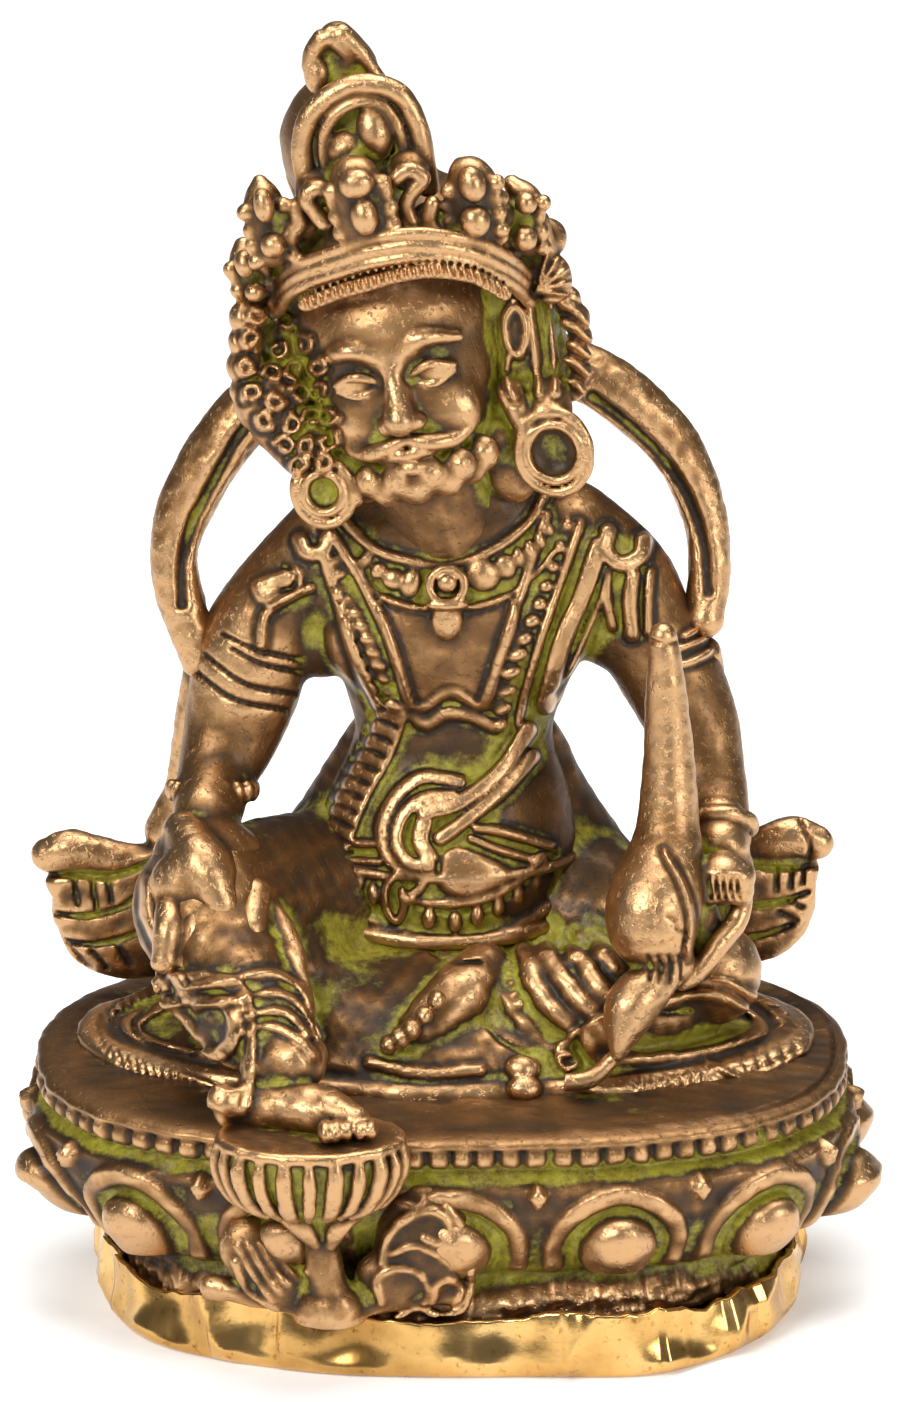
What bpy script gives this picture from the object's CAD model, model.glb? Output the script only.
"""A small brass statue of a seated god of wealth on a lotus throne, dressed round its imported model."""
import math

import bpy
import mathutils
import numpy as np
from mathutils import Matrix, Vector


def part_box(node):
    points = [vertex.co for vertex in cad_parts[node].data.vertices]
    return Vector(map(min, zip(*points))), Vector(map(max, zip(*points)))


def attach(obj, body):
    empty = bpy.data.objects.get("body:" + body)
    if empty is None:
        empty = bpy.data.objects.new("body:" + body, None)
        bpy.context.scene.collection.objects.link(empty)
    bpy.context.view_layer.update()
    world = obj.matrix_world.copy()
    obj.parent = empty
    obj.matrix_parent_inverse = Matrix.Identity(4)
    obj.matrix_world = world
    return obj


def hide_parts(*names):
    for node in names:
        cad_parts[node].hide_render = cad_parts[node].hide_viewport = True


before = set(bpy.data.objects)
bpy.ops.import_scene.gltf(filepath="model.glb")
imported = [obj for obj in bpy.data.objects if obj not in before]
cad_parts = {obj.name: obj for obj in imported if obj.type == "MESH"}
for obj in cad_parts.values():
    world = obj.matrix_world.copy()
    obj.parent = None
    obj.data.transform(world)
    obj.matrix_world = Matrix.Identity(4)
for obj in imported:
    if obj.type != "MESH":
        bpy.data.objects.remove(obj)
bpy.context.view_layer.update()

# The sheet plate closes the hollow foot. It is thin bright brass, laid under the casting by hand,
# with its edge turned up and dressed against the foot, so it is creased and its rim is uneven.
# Lengths are millimetres in this script, and pieces are written to Blender in metres.
MM = 0.001
plate_low, plate_high = (np.array(corner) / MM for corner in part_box("base_plate"))
PLATE_WIDTH, PLATE_DEPTH = (plate_high - plate_low)[:2]
PLATE_RIM = plate_high[2]
PLATE_SHEET = 0.45
PLATE_CORNER = 0.7
FRONT_SQUARENESS, BACK_SQUARENESS = 2.75, 2.2
# All random draws count on from this one number.
SEED = 7


def squared_oval(width, depth, count):
    """Evenly spaced points round a squared oval from its front towards +X, and its outward directions."""
    turn = np.linspace(0, 2 * math.pi, 16 * count + 1)
    bend = 2 / np.where(np.cos(turn) > 0, FRONT_SQUARENESS, BACK_SQUARENESS)
    across = np.sign(np.sin(turn)) * np.abs(np.sin(turn)) ** bend * width / 2
    deep = -np.sign(np.cos(turn)) * np.abs(np.cos(turn)) ** bend * depth / 2
    length = np.append(0, np.cumsum(np.hypot(np.diff(across), np.diff(deep))))
    even = np.arange(count) * length[-1] / count
    spots = np.column_stack([np.interp(even, length, across), np.interp(even, length, deep)])
    steep = np.where(spots[:, 1:] < 0, FRONT_SQUARENESS, BACK_SQUARENESS) - 1
    out = np.sign(spots) * np.abs(spots * [2 / width, 2 / depth]) ** steep / [width, depth]
    return spots, out / np.linalg.norm(out, axis=1)[:, None], length[-1]


def ripple(seed, waves, points, strength=1.0):
    """Smooth waves of many directions over points, between about -strength and strength."""
    rng = np.random.default_rng(seed)
    points = np.asarray(points, float)
    total = np.zeros(points.shape[:-1])
    for size, share in waves:
        for _ in range(8):
            heading = rng.normal(size=points.shape[-1])
            heading *= 2 * math.pi / (size * rng.uniform(0.65, 1.8)) / np.linalg.norm(heading)
            total += share * np.sin(points @ heading + rng.uniform(0, 2 * math.pi))
    return strength * total / sum(share for _, share in waves) / 2.8


def make_piece(name, spots, faces, material, slot, node):
    """A mesh piece from points in millimetres and arrays of faces, one for each number of sides."""
    mesh = bpy.data.meshes.new(name)
    mesh.vertices.add(len(spots))
    mesh.vertices.foreach_set("co", (spots * MM).astype(np.float32).ravel())
    corners = np.concatenate([some.ravel() for some in faces])
    sides = np.concatenate([np.full(len(some), some.shape[1]) for some in faces])
    mesh.loops.add(len(corners))
    mesh.loops.foreach_set("vertex_index", corners.astype(np.int32))
    mesh.polygons.add(len(sides))
    mesh.polygons.foreach_set("loop_start", (np.cumsum(sides) - sides).astype(np.int32))
    mesh.update(calc_edges=True)
    mesh.shade_smooth()
    mesh.materials.append(material)
    piece = bpy.data.objects.new(name, mesh)
    bpy.context.scene.collection.objects.link(piece)
    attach(piece, "root")
    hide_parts(node)
    return piece


def turned(rings):
    """Points and faces of a closed form from its rings, with a point that closes each end."""
    count = len(rings[0])
    last = len(rings) * count
    here = np.arange(len(rings) - 1)[:, None] * count + np.arange(count)
    beside = np.arange(len(rings) - 1)[:, None] * count + (np.arange(count) + 1) % count
    walls = np.stack([here, beside, beside + count, here + count], axis=-1).reshape(-1, 4)
    step = np.arange(count)
    after = (step + 1) % count
    first_cap = np.column_stack([after, step, np.full(count, last)])
    last_cap = np.column_stack([step, after, np.full(count, last + 1)]) + [last - count, last - count, 0]
    ends = [rings[0].mean(axis=0), rings[-1].mean(axis=0)]
    return np.concatenate([*rings, ends]), [walls, first_cap, last_cap]


def finish_nodes(name):
    """A new material, its nodes, links and shader, and a function that adds a node to it."""
    material = bpy.data.materials.new(name)
    material.use_nodes = True
    nodes = material.node_tree.nodes
    links = material.node_tree.links

    def add(kind, inputs=(), **settings):
        node = nodes.new("ShaderNode" + kind)
        for key, value in settings.items():
            setattr(node, key, value)
        for key, value in dict(inputs).items():
            if isinstance(value, bpy.types.NodeSocket):
                links.new(value, node.inputs[key])
            else:
                node.inputs[key].default_value = value
        return node

    return material, links, nodes["Principled BSDF"], add


def ramp(add, value, *stops):
    """A colour ramp over value. Each stop is a place and a grey level or a colour."""
    node = add("ValToRGB", {"Fac": value})
    bar = node.color_ramp.elements
    while len(bar) < len(stops):
        bar.new(0.5)
    for element, (place, level) in zip(bar, stops):
        element.position = place
        element.color = (*level, 1.0) if isinstance(level, tuple) else (level, level, level, 1.0)
    return node.outputs["Color"]


def blend(add, share, one, two, mode="MIX"):
    """Colour one where share is 0 and two where it is 1."""
    node = add("Mix", {0: share, 6: one, 7: two}, data_type="RGBA", blend_type=mode)
    return node.outputs[2]


def noise(add, place, scale, detail, roughness):
    """Grey noise over place, finer with a larger scale."""
    inputs = {"Vector": place, "Scale": scale, "Detail": detail, "Roughness": roughness}
    return add("TexNoise", inputs).outputs["Fac"]


def bump(add, height, strength, distance, under=None):
    """The surface's direction where height bumps it, on top of the bumps under it."""
    inputs = {"Height": height, "Strength": strength, "Distance": distance}
    if under is not None:
        inputs["Normal"] = under
    return add("Bump", inputs).outputs["Normal"]


sheet_brass, links, shader, add = finish_nodes("bright_sheet_brass")
place = add("TexCoord").outputs["Object"]
grain = noise(add, place, 90.0, 5.0, 0.6)
fine = noise(add, place, 1500.0, 4.0, 0.7)
gold = ramp(add, grain, (0.32, (0.46, 0.25, 0.07)), (0.5, (0.72, 0.43, 0.14)), (0.7, (0.88, 0.58, 0.23)))
worn = ramp(add, fine, (0.30, (0.55, 0.40, 0.26)), (0.42, (1.0, 1.0, 1.0)))
links.new(blend(add, 1.0, gold, worn, "MULTIPLY"), shader.inputs["Base Color"])
links.new(ramp(add, grain, (0.3, 0.30), (0.7, 0.20)), shader.inputs["Roughness"])
shader.inputs["Metallic"].default_value = 1.0
dents = bump(add, grain, 0.22, 0.0006)
links.new(bump(add, fine, 0.12, 0.0001, dents), shader.inputs["Normal"])

PLATE_COUNT = 540
spots, outward, plate_round = squared_oval(PLATE_WIDTH, PLATE_DEPTH, PLATE_COUNT)
along = np.arange(PLATE_COUNT) * plate_round / PLATE_COUNT
# Where the front edge is knocked out of its oval, in millimetres across, and by how much.
FRONT_KNOCKS = ((15, 1.4), (-15, -0.6))
for across, push in FRONT_KNOCKS:
    spots[:, 1] -= np.where(spots[:, 1] < 0, push * np.exp(-((spots[:, 0] - across) / 6) ** 2), 0)
angle = along * 2 * math.pi / plate_round
circle = np.column_stack([np.cos(angle), np.sin(angle)])
circle *= plate_round / 2 / math.pi
# Where the edge was folded over itself, in millimetres round from the front, and how wide each fold is.
PLATE_FOLDS = ((-12.2, 1.6), (-17.5, 3.4), (8.2, 1.2), (15.6, 2.0), (21.4, 1.4), (24.6, 2.6), (38.0, 2.0),
               (55.0, 2.4), (72.0, 1.8), (93.0, 2.6), (113.0, 1.6), (124.0, 2.2))
rim = PLATE_RIM - 0.25 + ripple(SEED, ((18.0, 1.0), (6.0, 0.5), (1.7, 0.25)), circle, 0.65)
fold = np.zeros(PLATE_COUNT)
for spot, wide in PLATE_FOLDS:
    apart = (along - spot + plate_round / 2) % plate_round - plate_round / 2
    lapped = 0.40 * (1 - np.clip(apart, 0, wide) / wide) ** 0.6
    fold += np.where((apart > -0.15) & (apart < wide), lapped, 0.0)
    rim += 0.5 * np.exp(-((apart - wide / 2) / wide) ** 2)
rim = np.clip(rim, PLATE_RIM - 1.6, PLATE_RIM + 0.9)
levels = np.concatenate([[0.0, 0.02, 0.1, 0.25, 0.5], np.linspace(0.8, PLATE_RIM, 22)]) / PLATE_RIM
around = np.repeat(circle[None], len(levels), 0)
up_the_rim = np.repeat((levels * PLATE_RIM)[:, None, None], PLATE_COUNT, 1)
on_the_rim = np.concatenate([around, up_the_rim], axis=2)
crease = ripple(SEED + 1, ((16.0, 1.0), (7.0, 0.7), (3.0, 0.15)), on_the_rim)
crease = 1 - np.abs(crease) * 2
rings = []
for share, wave in zip(levels, crease):
    height = share * rim
    tuck = PLATE_CORNER * (1 - math.sqrt(1 - (1 - min(height.mean() / PLATE_CORNER, 1)) ** 2))
    lift = np.clip(height / 1.2, 0, 1)
    out = fold * lift + 0.55 * wave * lift - tuck - 0.45 * share ** 2
    rings.append(np.column_stack([spots + outward * out[:, None], height]))
inner = [np.column_stack([ring[:, :2] - outward * PLATE_SHEET, np.maximum(ring[:, 2], PLATE_SHEET) - 0.02])
         for ring in rings[:4:-1]]
floor_in = [np.column_stack([spots * share, np.full(PLATE_COUNT, PLATE_SHEET)]) for share in (0.95, 0.5, 0.1)]
floor_out = [np.column_stack([spots * share, np.zeros(PLATE_COUNT)]) for share in (0.1, 0.5, 0.9)]
make_piece("base_plate_sheet", *turned(floor_out + rings + inner + floor_in), sheet_brass, "sheet_brass",
           "base_plate")

# The photograph's line of sight, which is also the scene's camera. Chased work is drawn where the eye
# sees it, in pixels of the 900 by 1402 photograph, and is then laid on the surface behind that spot.
PHOTO_WIDTH, PHOTO_HEIGHT = 900, 1402
CAMERA_RISE = math.radians(18)
CAMERA_REACH = 800.0
CAMERA_AIM = np.array([0.0, 0.0, 43.8])
PIXELS_EACH_MM = 13.9
ahead = np.array([0, math.cos(CAMERA_RISE), -math.sin(CAMERA_RISE)])
upward = np.array([0, math.sin(CAMERA_RISE), math.cos(CAMERA_RISE)])
camera_spot = CAMERA_AIM - CAMERA_REACH * ahead


def seen(spots):
    """Pixels of the photograph, across and down, at which these points are seen."""
    apart = spots - camera_spot
    scale = PIXELS_EACH_MM * CAMERA_REACH / (apart @ ahead)
    across = PHOTO_WIDTH / 2 + apart[..., 0] * scale
    down = PHOTO_HEIGHT / 2 - (apart @ upward) * scale
    return np.stack([across, down], axis=-1)


def sight(pixels):
    """Directions from the camera through these pixels."""
    across, down = np.asarray(pixels, float).T
    reach = PIXELS_EACH_MM * CAMERA_REACH
    lines = ahead + ((across - PHOTO_WIDTH / 2) / reach)[:, None] * [1, 0, 0]
    lines = lines + ((PHOTO_HEIGHT / 2 - down) / reach)[:, None] * upward
    return lines / np.linalg.norm(lines, axis=1)[:, None]


camera = bpy.data.objects.new("camera", bpy.data.cameras.new("camera"))
camera.data.sensor_fit = "VERTICAL"
camera.data.angle = 2 * math.atan(PHOTO_HEIGHT / 2 / (PIXELS_EACH_MM * CAMERA_REACH))
camera.data.clip_start = 0.01
camera.location = camera_spot * MM
camera.rotation_euler = (math.pi / 2 - CAMERA_RISE, 0, 0)
bpy.context.scene.collection.objects.link(camera)
bpy.context.scene.camera = camera

# The casting is one piece of brass, poured from a wax. The throne is its drum: a rough neck in the
# sheet plate, a wall of lotus petals with a bulb in each, a plain recess, and a rim cut into beads.
THRONE_WIDTH, THRONE_DEPTH = 58.4, 41.6
THRONE_TOP = 18.0
THRONE_COUNT = 720
PETAL_COUNT = 14
PETAL_HALF = 5.55
PETAL_MIDDLE, PETAL_TOP, PETAL_LOW = 8.9, 14.4, 6.5
BULB_RADIUS, BULB_MIDDLE = 2.9, 9.2
FOOT_LOW = PLATE_RIM - 1.2
BEAD_COUNT = 92
BEAD_LOW, BEAD_HIGH = 15.55, 17.5


def smooth_step(low, high, value):
    """0 below low, 1 above high, and a soft slope between them."""
    share = np.clip((value - low) / (high - low), 0, 1)
    return share * share * (3 - 2 * share)


def hump(value, middle, half):
    """A round ridge of height 1 and half width half."""
    return np.sqrt(np.clip(1 - ((value - middle) / half) ** 2, 0, 1))


spots, outward, throne_round = squared_oval(THRONE_WIDTH, THRONE_DEPTH, THRONE_COUNT)
along = np.arange(THRONE_COUNT) * throne_round / THRONE_COUNT
level = np.concatenate([np.linspace(FOOT_LOW, PETAL_LOW, 11)[:-1], np.linspace(PETAL_LOW, PETAL_TOP, 46)[:-1],
                        np.linspace(PETAL_TOP, BEAD_LOW, 8)[:-1], np.linspace(BEAD_LOW, BEAD_HIGH, 14)[:-1],
                        np.linspace(BEAD_HIGH, THRONE_TOP, 6)])
high, where = np.meshgrid(level, along, indexing="ij")
circle = np.stack([np.cos(where * 2 * math.pi / throne_round),
                   np.sin(where * 2 * math.pi / throne_round),
                   high * 2 * math.pi / throne_round], axis=-1) * throne_round / 2 / math.pi
# Heights of the wall, and how far it stands out from the oval there.
WALL_PROFILE = ((0, -1.1), (5.0, -1.3), (5.9, -2.3), (PETAL_LOW, -3.1), (7.6, -2.9), (9.4, -1.9),
                (12.0, -0.6), (14.2, -0.35), (15.3, -1.4), (15.6, -1.6), (THRONE_TOP, -1.6))
wall = np.interp(high, *np.transpose(WALL_PROFILE))
waist = 1.2 * smooth_step(8.0, 5.0, high) + 2.5 * smooth_step(PETAL_LOW, 5.2, high)
wall -= waist * np.abs(outward[:, 0])
wall -= 1.1 * smooth_step(PETAL_TOP, BEAD_LOW, high) * np.clip(outward[:, 0], 0, 1)
petal_pitch = throne_round / PETAL_COUNT
number = np.round(where / petal_pitch)
wander = ripple(SEED + 3, ((20.0, 1.0),), circle, 0.35)
aside = where - number * petal_pitch + wander * 0.6
rise = high - PETAL_MIDDLE
radius = np.hypot(aside, np.where(rise > 0, rise, rise * 0.62))
petal = 0.75 * smooth_step(PETAL_HALF + 0.15, PETAL_HALF - 0.35, radius)
petal += 0.8 * hump(radius, PETAL_HALF - 0.9, 0.95) ** 0.7 - 0.3 * hump(radius, PETAL_HALF - 2.0, 0.3)
petal += 0.6 * hump(radius, PETAL_HALF - 2.5, 0.45) * smooth_step(-3.5, 0.5, rise)
bulb = np.hypot(aside, high - BULB_MIDDLE)
petal = np.maximum(petal, 0.9 + 0.95 * np.sqrt(np.clip(BULB_RADIUS ** 2 - bulb ** 2, 0, None)))
petal = np.where(bulb < BULB_RADIUS, petal, petal - 0.35 * np.exp(-((bulb - BULB_RADIUS) / 0.3) ** 2))
between = np.abs(aside) - petal_pitch / 2
tip = np.clip(1 - np.abs(between) / 0.95 - np.abs(high - 13.75) / 1.5, 0, None)
tip = np.where(high > 12.7, tip, 0) * 1.9
wall += (petal + np.minimum(tip, 0.9)) * smooth_step(PETAL_LOW - 0.1, PETAL_LOW + 1.1, high)
recess = (high > PETAL_TOP - 0.4) & (high < BEAD_LOW)
wall += np.where(recess, ripple(SEED + 4, ((2.2, 1.0), (0.9, 0.7)), circle, 0.10), 0)
foot = smooth_step(PETAL_LOW + 0.8, PETAL_LOW - 0.4, high)
wall += foot * ripple(SEED + 5, ((3.0, 1.0), (1.1, 0.8), (0.55, 0.6)), circle, 0.34)
bead_pitch = throne_round / BEAD_COUNT
notch = np.abs(np.sin(math.pi * (where / bead_pitch + 0.12 * np.sin(where * 0.37))))
bead = hump(high, (BEAD_LOW + BEAD_HIGH) / 2, (BEAD_HIGH - BEAD_LOW) / 2 + 0.1)
bead = bead * (0.35 + 0.65 * np.clip(notch * 1.5, 0, 1) ** 0.6)
rim = np.where(high > BEAD_HIGH - 0.35, 1.42 * hump(high, BEAD_HIGH - 0.1, 0.62), 0)
wall += np.maximum(1.5 * bead * (high > BEAD_LOW - 0.01), rim * (high <= THRONE_TOP))
wall += ripple(SEED + 6, ((9.0, 1.0), (3.0, 0.7), (1.3, 0.5)), circle, 0.20)
wall += smooth_step(0.75, 0.98, -outward[:, 0]) * (0.7 * hump(high, 12.4, 3.2) - 0.6 * hump(high, 7.5, 2.5))
wall += smooth_step(0.75, 0.98, outward[:, 0]) * (0.6 * hump(high, 9.5, 2.5) - 0.5 * hump(high, 13.0, 2.5))
rings = [np.column_stack([spots + outward * out[:, None], np.full(THRONE_COUNT, height)])
         for out, height in zip(wall, level)]
LID_SHARES = np.append(np.linspace(0.958, 0.60, 17), 0.3)
lid_spots = spots * LID_SHARES[:, None, None]
lid_wave = ripple(SEED + 7, ((6.0, 0.8), (2.0, 0.8)), lid_spots, 0.12)
lid_wave *= smooth_step(0.975, 0.93, LID_SHARES)[:, None]
lid = [np.column_stack([ring, THRONE_TOP + 0.12 + wave]) for ring, wave in zip(lid_spots, lid_wave)]
base = [np.column_stack([spots * share, np.full(THRONE_COUNT, FOOT_LOW)]) for share in (0.3, 0.7)]
throne_rings = base + rings + lid

# Its brass was brushed bright on the high places, browned by age lower down, and a yellow-green
# colour was rubbed into the hollows. Each point of a piece knows how hollow it is, near and far.
cast_brass, links, shader, add = finish_nodes("aged_cast_brass")
place = add("TexCoord").outputs["Object"]
near, far, middle, rubbed = (add("Attribute", attribute_type="GEOMETRY", attribute_name=name).outputs["Fac"]
                             for name in ("near_hollow", "far_hollow", "middle_hollow", "rubbed"))
cloud = noise(add, place, 330.0, 6.0, 0.66)
speck = noise(add, place, 1500.0, 5.0, 0.75)
patch = noise(add, place, 120.0, 4.0, 0.6)


def sum_of(add, start, *terms):
    """start plus each value times its weight."""
    for value, weight in terms:
        start = add("Math", {0: value, 1: weight, 2: start}, operation="MULTIPLY_ADD").outputs[0]
    return start


age = sum_of(add, -0.72, (near, 0.95), (middle, 1.05), (far, 0.60), (rubbed, -0.50), (cloud, 0.20),
             (speck, 0.20), (patch, 0.12))
metal = ramp(add, age, (0.04, (0.56, 0.33, 0.155)), (0.20, (0.37, 0.20, 0.080)), (0.38, (0.20, 0.100, 0.036)),
             (0.56, (0.100, 0.050, 0.018)), (0.80, (0.034, 0.020, 0.010)))
pooled = sum_of(add, -1.70, (middle, 1.7), (far, 0.95), (near, -0.30), (rubbed, -0.50), (cloud, 0.75),
                (patch, 1.15), (speck, 0.30))
pooled = ramp(add, pooled, (0.36, 0.0), (0.60, 0.88))
colour = ramp(add, sum_of(add, 0.0, (speck, 0.6), (cloud, 0.4)), (0.36, (0.09, 0.062, 0.008)),
              (0.46, (0.25, 0.200, 0.012)), (0.62, (0.41, 0.38, 0.022)))
links.new(blend(add, pooled, metal, colour), shader.inputs["Base Color"])
bare = ramp(add, age, (0.30, 1.0), (0.85, 0.55))
links.new(blend(add, pooled, bare, (0.05, 0.05, 0.05, 1.0)), shader.inputs["Metallic"])
gloss = ramp(add, sum_of(add, 0.0, (age, 1.0), (speck, 0.30)), (0.15, 0.34), (0.5, 0.46), (0.95, 0.64))
links.new(blend(add, pooled, gloss, (0.55, 0.55, 0.55, 1.0)), shader.inputs["Roughness"])
shader.inputs["Coat Weight"].default_value = 0.18
shader.inputs["Coat Roughness"].default_value = 0.30
holes = ramp(add, noise(add, place, 2300.0, 3.0, 0.6), (0.30, 0.0), (0.42, 1.0))
rough = bump(add, cloud, 0.28, 0.0004)
grit = bump(add, speck, 0.30, 0.00014, rough)
links.new(bump(add, holes, 0.5, 0.0001, grit), shader.inputs["Normal"])

brass_pieces = []
solid_blocks = []


def cast_piece(name, spots, faces, most):
    """A piece of the casting, thinned to at most that many triangles."""
    piece = make_piece(name, spots, faces, cast_brass, "cast_brass", "statue")
    triangles = sum(len(some) * (some.shape[1] - 2) for some in faces)
    if triangles > most:
        thin = piece.modifiers.new("thin", "DECIMATE")
        thin.ratio = most / triangles
        graph = bpy.context.evaluated_depsgraph_get()
        thinned = bpy.data.meshes.new_from_object(piece.evaluated_get(graph))
        piece.modifiers.clear()
        piece.data = thinned
        thinned.name = name
    brass_pieces.append(piece)
    return piece


def mesh_points(mesh):
    """Its points in millimetres and their outward directions."""
    spots = np.empty(len(mesh.vertices) * 3, np.float32)
    normals = np.empty(len(mesh.vertices) * 3, np.float32)
    mesh.vertices.foreach_get("co", spots)
    mesh.vertices.foreach_get("normal", normals)
    return spots.reshape(-1, 3) / MM, normals.reshape(-1, 3)


def write_value(mesh, name, values):
    """Gives each point of a mesh its value, evened out with the points beside it."""
    ends = np.empty(len(mesh.edges) * 2, np.int32)
    mesh.edges.foreach_get("vertices", ends)
    one, two = ends.reshape(-1, 2).T
    beside = np.bincount(ends, minlength=len(values))
    for _ in range(2):
        total = np.bincount(one, values[two], len(values)) + np.bincount(two, values[one], len(values))
        values = (values + total / beside) / 2
    mesh.attributes.new(name, "FLOAT", "POINT").data.foreach_set("value", values.astype(np.float32))


throne = cast_piece("lotus_throne", *turned(throne_rings), 190000)
smooth_wall = wall.copy()
lid_hollow = np.append(0.5 - lid_wave.ravel() * 1.2, [0.5, 0.5])
for name, passes, step, gain, at_foot, on_lid in (
    ("near_hollow", 10, 1, 1.1, 0.8, lid_hollow),
    ("middle_hollow", 22, 2, 0.55, 0.7, lid_hollow * 0.4 + 0.26),
):
    for _ in range(passes):
        smooth_wall = (smooth_wall + np.roll(smooth_wall, step, 1) + np.roll(smooth_wall, -step, 1)) / 3
        edged = np.pad(smooth_wall, ((step, step), (0, 0)), "edge")
        smooth_wall = (edged[:-2 * step] + smooth_wall + edged[2 * step:]) / 3
    hollow = np.clip(0.5 + (smooth_wall - wall) * gain, 0, 1)
    hollow[level > BEAD_HIGH + 0.2] = 0.4
    hollow[level < PETAL_LOW + 0.7] *= at_foot
    write_value(throne.data, name, np.concatenate([np.full(2 * THRONE_COUNT, 0.8), hollow.ravel(), on_lid]))

# The small lotus under the right foot was modelled in wax and set on the throne's front, with its
# stalk and a leaf on each side. All the wax below is kept as distances on a grid of points, worked out
# within MARGIN of each shape. FAR counts as far off. GROOVE is cut on both sides of a raised line.
MARGIN = 1.6
FAR = 9.0
GROOVE = 0.14


def smooth_route(route, radii, closed=False, parts=6):
    """Points and radii along a smooth curve through route."""
    knots = np.column_stack([np.asarray(route, float), np.broadcast_to(radii, len(route))])
    before, after = 2 * knots[:1] - knots[1:2], 2 * knots[-1:] - knots[-2:-1]
    if closed:
        before, after = knots[-1:], knots[:2]
    whole = np.concatenate([before, knots, after])
    share = np.linspace(0, 1, parts, endpoint=False)[:, None]
    made = []
    for one, two, three, four in zip(whole, whole[1:], whole[2:], whole[3:]):
        bend = 2 * one - 5 * two + 4 * three - four
        twist = -one + 3 * two - 3 * three + four
        made.append(two + 0.5 * ((three - one) * share + bend * share ** 2 + twist * share ** 3))
    curve = np.concatenate([*made, knots[:1] if closed else knots[-1:]])
    return curve[:, :-1], curve[:, -1]


def spread(route, pitch):
    """Spots a pitch apart along a smooth curve through route."""
    curve, _ = smooth_route(route, 0, parts=12)
    length = np.append(0, np.cumsum(np.linalg.norm(np.diff(curve, axis=0), axis=1)))
    even = np.linspace(0, length[-1], max(2, round(length[-1] / pitch) + 1))
    return np.column_stack([np.interp(even, length, curve[:, i]) for i in range(curve.shape[1])])


def turned_by(axis, degrees):
    """A rotation about the X, Y or Z axis."""
    one, two = [(1, 2), (2, 0), (0, 1)]["XYZ".index(axis)]
    turn = np.eye(3)
    turn[one, one] = turn[two, two] = math.cos(math.radians(degrees))
    turn[two, one] = math.sin(math.radians(degrees))
    turn[one, two] = -turn[two, one]
    return turn


def beside_line(across, down, one, two):
    """For pixels across and down: how far along the line from one to two they lie, and how far from it."""
    run = two - one
    share = np.clip(((across - one[0]) * run[0] + (down - one[1]) * run[1]) / max(run @ run, 1e-6), 0, 1)
    return share, np.hypot(across - one[0] - share * run[0], down - one[1] - share * run[1])


def part_of(page, curve, reach):
    """The part of a page of pixels within reach of a curve, and the pixels across and down in it."""
    low = np.clip(np.floor(curve.min(0) - reach).astype(int), 0, None)
    high = np.ceil(curve.max(0) + reach + 1).astype(int)
    area = page[low[1]:high[1], low[0]:high[0]]
    down, across = np.mgrid[low[1]:low[1] + area.shape[0], low[0]:low[0] + area.shape[1]]
    return area, across.astype(np.float32), down.astype(np.float32)


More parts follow.
